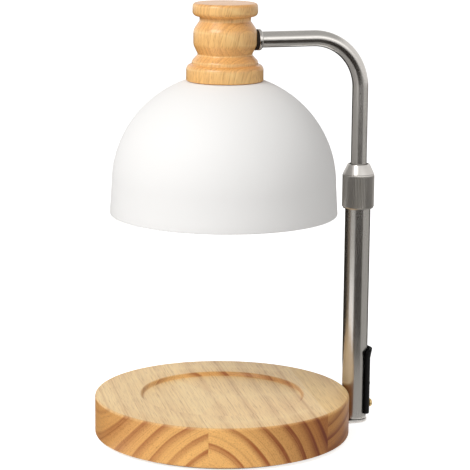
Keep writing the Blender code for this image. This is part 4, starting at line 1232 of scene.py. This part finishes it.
class LAMP_OT_wood_cap(bpy.types.Operator):
    """Turned wooden cap over the shade"""

    bl_idname = "lamp.wood_cap"
    bl_label = "Wooden Cap"

    def execute(self, context):
        wood = context.scene.lamp_wood
        radius = radius_of("wood_cap")
        bottom, top = span("wood_cap")
        height = top - bottom
        corners = [(share[0] * radius, share[1] * height, share[2] * radius) for share in CAP_SHARES]
        bore = radius_of("lampholder") + FIT
        shelf = HOLDER_FLANGE + FIT
        cavity = radius * CAVITY_RADIUS_SHARE
        corners += [
            (bore, 0),
            (bore, shelf),
            (cavity, shelf),
            (cavity, height * CAVITY_HEIGHT_SHARE),
            (0, height * CAVITY_HEIGHT_SHARE),
        ]
        mesh = turned_mesh("turned_cap", rounded(corners), LARGE_SEGMENTS)
        cap = new_piece(mesh, (0, 0, bottom))
        arm_height = high("arm_tube").z - radius_of("arm_tube")
        hole = radius_of("arm_tube") + FIT
        seat = radius_of("rubber_washer") + FIT
        reach = radius + OVERRUN
        stepped = [
            (0, 0),
            (hole, 0),
            (hole, ARM_SEAT_REACH),
            (seat, ARM_SEAT_REACH),
            (seat, reach),
            (0, reach),
        ]
        cut(cap, turned_mesh("hole", stepped, MEDIUM_SEGMENTS), (0, 0, arm_height), ALONG_X)
        stuff = wood_finish("cap_wood", wood, CAP_HEART, tuple(wood.cap), CAP_TURN,
                            wood.cap_ring_spacing, CAP_CONTRAST, gloss=CAP_GLOSS)
        dress(cap, [stuff], "arm", "wood", "wood_cap")
        return {"FINISHED"}


def add_dome():
    """Spun sheet: an elliptic dome on a slightly flared skirt, with a round rim."""
    rim_radius = radius_of("shade")
    bottom, top = span("shade")
    dome_radius = rim_radius - SHADE_FLARE
    centre = bottom + SHADE_SKIRT
    seat_angle = math.acos((radius_of("wood_cap") + SHADE_LEDGE) / dome_radius)
    dome_height = (top - centre) / math.sin(seat_angle)
    profile = [(SHADE_OPENING, top)]
    for step in range(SHADE_ARC_STEPS + 1):
        angle = seat_angle * (1 - step / SHADE_ARC_STEPS)
        profile.append((dome_radius * math.cos(angle), centre + dome_height * math.sin(angle)))
    for share in (0.25, 0.5, 0.75, 1.0):
        profile.append((dome_radius + SHADE_FLARE * share, centre - SHADE_SKIRT * share))
    outline = shell_outline(profile, SHADE_WALL, SHADE_RIM_STEPS)
    mesh = turned_mesh("shade_dome", outline, LARGE_SEGMENTS)
    add_piece(mesh, "matt_white", "arm", "white_paint", "shade")


def add_backplate():
    """Steel plate inside the shade's top."""
    outline = ring_outline(SHADE_OPENING, radius_of("shade_plate"), *span("shade_plate"), BACKPLATE_EDGE)
    mesh = turned_mesh("shade_backplate", outline, MEDIUM_SEGMENTS)
    add_piece(mesh, "zinc_plating", "arm", "zinc_steel", "shade_plate")


def add_shade_screw(node):
    """Pan screw that holds the plate, head down."""
    bottom, top = span(node)
    place = axis_of(node) + Vector((0, 0, bottom + SHADE_SCREW_HEAD))
    add_pan_screw(node + "_turned", node, SHADE_SCREW_HEAD, top - bottom - SHADE_SCREW_HEAD,
                  place, HEAD_DOWN, "zinc_plating", "arm", "zinc_steel")


class LAMP_OT_shade(bpy.types.Operator):
    """Painted dome with the plate and screws that hold it"""

    bl_idname = "lamp.shade"
    bl_label = "Shade"

    def execute(self, context):
        add_dome()
        add_backplate()
        for index in (1, 2, 3):
            add_shade_screw(f"shade_screw_{index}")
        return {"FINISHED"}


# Bulb

def add_bowl():
    """Glass bowl, mirrored and facetted inside."""
    radius = radius_of("bulb_reflector")
    bottom, top = span("bulb_reflector")
    bowl_bottom = bottom + BULB_RIM_HEIGHT
    profile = []
    for step in range(BULB_BOWL_STEPS + 1):
        size = BULB_NECK_RADIUS + (radius - BULB_NECK_RADIUS) * step / BULB_BOWL_STEPS
        drop = (size ** 2 - BULB_NECK_RADIUS ** 2) / (radius ** 2 - BULB_NECK_RADIUS ** 2)
        profile.append((size, top - (top - bowl_bottom) * drop))
    profile.append((radius, bottom))
    outline = shell_outline(profile, BULB_WALL, BULB_RIM_STEPS)
    mesh = turned_mesh("bulb_bowl", outline, FACETS_ROUND * SEGMENTS_PER_FACET)
    for vertex in mesh.vertices:
        size = math.hypot(vertex.co.x, vertex.co.y)
        drop = (top - vertex.co.z) / (top - bowl_bottom)
        skin = math.sqrt(BULB_NECK_RADIUS ** 2 + max(drop, 0) * (radius ** 2 - BULB_NECK_RADIUS ** 2))
        if drop < FACETS_FROM or drop > FACETS_TO or size > skin - BULB_WALL / 3:
            continue
        round_share = math.atan2(vertex.co.y, vertex.co.x) / (2 * math.pi) * FACETS_ROUND
        wave = math.cos(2 * math.pi * round_share) * math.cos(math.pi * drop * FACET_RINGS)
        vertex.co.xy *= 1 + FACET_DEPTH * wave / size
    add_piece(mesh, "mirrored_glass", "bulb", "lamp_glass", "bulb_reflector")


def add_lens():
    """Front glass with a soft edge."""
    radius = radius_of("bulb_lens")
    bottom, top = span("bulb_lens")
    lower, upper = LENS_EDGES
    outline = rounded([(0, bottom), (radius, bottom, lower), (radius, top, upper), (0, top)])
    mesh = turned_mesh("bulb_front_glass", outline, MEDIUM_SEGMENTS)
    add_piece(mesh, "clear_glass", "bulb", "lamp_glass", "bulb_lens")


def add_filament():
    """Coiled filament inside the capsule."""
    bottom, top = span("bulb_capsule")
    start, end = (bottom + (top - bottom) * share for share in FILAMENT_SPAN)
    line = bpy.data.curves.new("bulb_filament", "CURVE")
    line.dimensions = "3D"
    line.bevel_depth = FILAMENT_WIRE
    line.bevel_resolution = 2
    line.use_fill_caps = True
    count = FILAMENT_TURNS * FILAMENT_POINTS_PER_TURN
    spline = line.splines.new("POLY")
    spline.points.add(count)
    for step, point in enumerate(spline.points):
        angle = 2 * math.pi * step / FILAMENT_POINTS_PER_TURN
        point.co = (FILAMENT_RADIUS * math.cos(angle), FILAMENT_RADIUS * math.sin(angle),
                    start + (end - start) * step / count, 1.0)
    line.materials.append(finish("tungsten"))
    filament = new_object("bulb_filament", line)
    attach(filament, "bulb")


class LAMP_OT_bulb(bpy.types.Operator):
    """Reflector bulb: facetted bowl, front glass, capsule and filament"""

    bl_idname = "lamp.bulb"
    bl_label = "Bulb"

    def execute(self, context):
        add_bowl()
        add_lens()
        add_filament()
        dress_node("bulb_capsule", "clear_glass")
        dress_node("bulb_base", "glazed_ceramic")
        for node in ("bulb_pin_1", "bulb_pin_2"):
            dress_node(node, "zinc_plating")
        return {"FINISHED"}


# Pieces whose solid already has its shape

INNER_FINISHES = {
    "lampholder": "glazed_ceramic",
    "clamp_collet": "natural_nylon",
    "guide_bush": "natural_nylon",
    "thrust_washer": "zinc_plating",
    "inner_washer": "zinc_plating",
    "inner_nut": "zinc_plating",
    "post_plug": "zinc_plating",
    "post_fitting": "turned_brass",
    "holder_contact_1": "turned_brass",
    "holder_contact_2": "turned_brass",
    "arm_lead": "black_moulding",
    "post_lead": "black_moulding",
    "lead_core_1": "bare_copper",
    "lead_core_2": "bare_copper",
}


def dress_node(node, stuff):
    """Give a node of the frame its finish, where its solid already has the shape."""
    item = frame["nodes"][node]
    if not item.material_slots:
        item.data.materials.append(finish(stuff))
    for slot in item.material_slots:
        slot.material = finish(stuff)


class LAMP_OT_inner_parts(bpy.types.Operator):
    """Finishes of the holder, the clamp's inside and the leads"""

    bl_idname = "lamp.inner_parts"
    bl_label = "Inner Parts"

    def execute(self, context):
        for node, stuff in INNER_FINISHES.items():
            dress_node(node, stuff)
        return {"FINISHED"}


# Stage

def seen_ray(tree):
    """Node output that is one for rays that look: from the camera, a gloss or a glass."""
    path = tree.nodes.new("ShaderNodeLightPath")
    total = path.outputs["Is Camera Ray"]
    for name in ("Is Glossy Ray", "Is Transmission Ray"):
        adder = tree.nodes.new("ShaderNodeMath")
        adder.operation = "MAXIMUM"
        tree.links.new(total, adder.inputs[0])
        tree.links.new(path.outputs[name], adder.inputs[1])
        total = adder.outputs[0]
    return total


def fan_mesh(name, reach, angles):
    """Flat fan between two distances and two angles in degrees, turned from the lamp's front."""
    near, far = reach
    first, last = (math.radians(angle) for angle in angles)
    shape = bmesh.new()
    rows = []
    for step in range(FAN_STEPS + 1):
        angle = first + (last - first) * step / FAN_STEPS
        spoke = Vector((math.sin(angle), -math.cos(angle), 0))
        rows.append([shape.verts.new(spoke * near), shape.verts.new(spoke * far)])
    for (one, two), (three, four) in zip(rows, rows[1:]):
        shape.faces.new((one, two, four, three))
    return finish_mesh(shape, name)


def sheet_mesh(name, half_width, half_depth):
    """Flat sheet."""
    shape = bmesh.new()
    bmesh.ops.create_grid(shape, x_segments=1, y_segments=1, size=1.0)
    bmesh.ops.scale(shape, verts=shape.verts, vec=(half_width, half_depth, 1))
    return finish_mesh(shape, name)


def add_card(mesh, place, turn, glow):
    """Card that glows in the gloss alone: a painted reflection, which lights and shades nothing."""
    card = new_piece(mesh, place, turn)
    material = bpy.data.materials.new(mesh.name)
    material.use_nodes = True
    tree = material.node_tree
    shader = tree.nodes.new("ShaderNodeEmission")
    shader.inputs["Color"].default_value = (*glow, 1)
    tree.links.new(shader.outputs[0], tree.nodes["Material Output"].inputs["Surface"])
    mesh.materials.append(material)
    card.visible_camera = False
    card.visible_diffuse = False
    card.visible_transmission = False
    card.visible_shadow = False


def add_floor(settings):
    """Pale floor that keeps the shadow and looks white where it is lit."""
    floor = new_object("floor", sheet_mesh("floor", FLOOR_REACH, FLOOR_REACH), (0, 0, -FLOOR_DROP))
    material = bpy.data.materials.new("floor")
    material.use_nodes = True
    tree = material.node_tree
    shader = tree.nodes["Principled BSDF"]
    shader.inputs["Base Color"].default_value = (*settings.floor, 1)
    shader.inputs["Roughness"].default_value = FLOOR_ROUGHNESS
    shader.inputs["Emission Color"].default_value = (1, 1, 1, 1)
    lift = tree.nodes.new("ShaderNodeMath")
    lift.operation = "MULTIPLY"
    lift.inputs[1].default_value = settings.floor_lift
    tree.links.new(seen_ray(tree), lift.inputs[0])
    tree.links.new(lift.outputs[0], shader.inputs["Emission Strength"])
    clear = tree.nodes.new("ShaderNodeBsdfTransparent")
    side = tree.nodes.new("ShaderNodeMixShader")
    tree.links.new(tree.nodes.new("ShaderNodeNewGeometry").outputs["Backfacing"], side.inputs[0])
    tree.links.new(shader.outputs[0], side.inputs[1])
    tree.links.new(clear.outputs[0], side.inputs[2])
    tree.links.new(side.outputs[0], tree.nodes["Material Output"].inputs["Surface"])
    floor.data.materials.append(material)


def add_world(settings):
    """White surroundings to look at, and even light from all round."""
    world = bpy.data.worlds.new("studio")
    bpy.context.scene.world = world
    world.use_nodes = True
    tree = world.node_tree
    tree.nodes["Background"].inputs["Color"].default_value = (*settings.air, 1)
    strength = tree.nodes.new("ShaderNodeMix")
    strength.inputs[2].default_value = settings.air_strength
    strength.inputs[3].default_value = 1.0
    tree.links.new(seen_ray(tree), strength.inputs[0])
    tree.links.new(strength.outputs[0], tree.nodes["Background"].inputs["Strength"])


def add_key_lamp(settings):
    """One large soft lamp, high on the left in front."""
    light = bpy.data.lights.new("key_lamp", "AREA")
    light.shape = "RECTANGLE"
    light.size, light.size_y = KEY_SIZE
    light.energy = settings.key_power
    aim = Vector(KEY_AIM) - Vector(KEY_PLACE)
    new_object("key_lamp", light, KEY_PLACE, aim.to_track_quat("-Z", "Y").to_euler())


def add_cards():
    """Cards round the post on the floor, and in the air, which only the gloss sees: painted reflections and
    painted shade on the steel.
    """
    post = axis_of("post_tube")
    for name, (height, reach, angles, glow) in FLOOR_CARDS.items():
        add_card(fan_mesh(name, reach, angles), post + Vector((0, 0, height)), None, glow)
    for name, (half_sizes, place, turn, glow) in AIR_CARDS.items():
        add_card(sheet_mesh(name, *half_sizes), place, turn, glow)


def add_camera():
    """Camera where the photograph was taken."""
    around = Matrix.Rotation(CAMERA_AZIMUTH, 3, "Z")
    place = around @ Vector((0, -CAMERA_REACH, CAMERA_HEIGHT))
    aim = around @ Vector(CAMERA_AIM)
    data = bpy.data.cameras.new("camera")
    data.sensor_width = CAMERA_SENSOR
    data.lens = CAMERA_LENS
    camera = new_object("camera", data)
    look = (aim - place).to_track_quat("-Z", "Y").to_matrix().to_4x4()
    camera.matrix_world = Matrix.Translation(place) @ look @ Matrix.Rotation(CAMERA_ROLL, 4, "Z")
    bpy.context.scene.camera = camera


class LAMP_OT_stage(bpy.types.Operator):
    """Floor, soft lamp, cards that paint reflections and shade on the steel, world and camera"""

    bl_idname = "lamp.stage"
    bl_label = "Stage"

    def execute(self, context):
        settings = context.scene.lamp_stage
        add_floor(settings)
        add_world(settings)
        add_key_lamp(settings)
        add_cards()
        add_camera()
        context.scene.view_settings.view_transform = "Standard"
        return {"FINISHED"}


OPERATORS = (
    LAMP_OT_wood_base,
    LAMP_OT_foot,
    LAMP_OT_post,
    LAMP_OT_clamp_nut,
    LAMP_OT_arm,
    LAMP_OT_wood_cap,
    LAMP_OT_shade,
    LAMP_OT_bulb,
    LAMP_OT_inner_parts,
    LAMP_OT_stage,
)

SETTINGS = {
    "lamp_wood": LampWoodSettings,
    "lamp_steel": LampSteelSettings,
    "lamp_shade": LampShadeSettings,
    "lamp_stage": LampStageSettings,
}


class LAMP_PT_sidebar(bpy.types.Panel):
    """Sizes, colours and pieces of the lamp"""

    bl_idname = "LAMP_PT_sidebar"
    bl_label = "Candle Warmer Lamp"
    bl_space_type = "VIEW_3D"
    bl_region_type = "UI"
    bl_category = "Lamp"

    def draw(self, context):
        for name, group in SETTINGS.items():
            box = self.layout.box()
            box.label(text=group.__doc__)
            for item in group.__annotations__:
                box.prop(getattr(context.scene, name), item)
        for operator in OPERATORS:
            self.layout.operator(operator.bl_idname)


def register():
    """Make the lamp's settings, operators and panel known to Blender."""
    for group in SETTINGS.values():
        bpy.utils.register_class(group)
    for operator in OPERATORS:
        bpy.utils.register_class(operator)
    bpy.utils.register_class(LAMP_PT_sidebar)
    for name, group in SETTINGS.items():
        setattr(bpy.types.Scene, name, bpy.props.PointerProperty(type=group))


def unregister():
    """Take them back in the opposite order."""
    for name in SETTINGS:
        delattr(bpy.types.Scene, name)
    bpy.utils.unregister_class(LAMP_PT_sidebar)
    for operator in reversed(OPERATORS):
        bpy.utils.unregister_class(operator)
    for group in SETTINGS.values():
        bpy.utils.unregister_class(group)


def main():
    """Build every piece and the stage."""
    register()
    for operator in OPERATORS:
        group, name = operator.bl_idname.split(".")
        getattr(getattr(bpy.ops, group), name)()


if __name__ == "__main__":
    main()
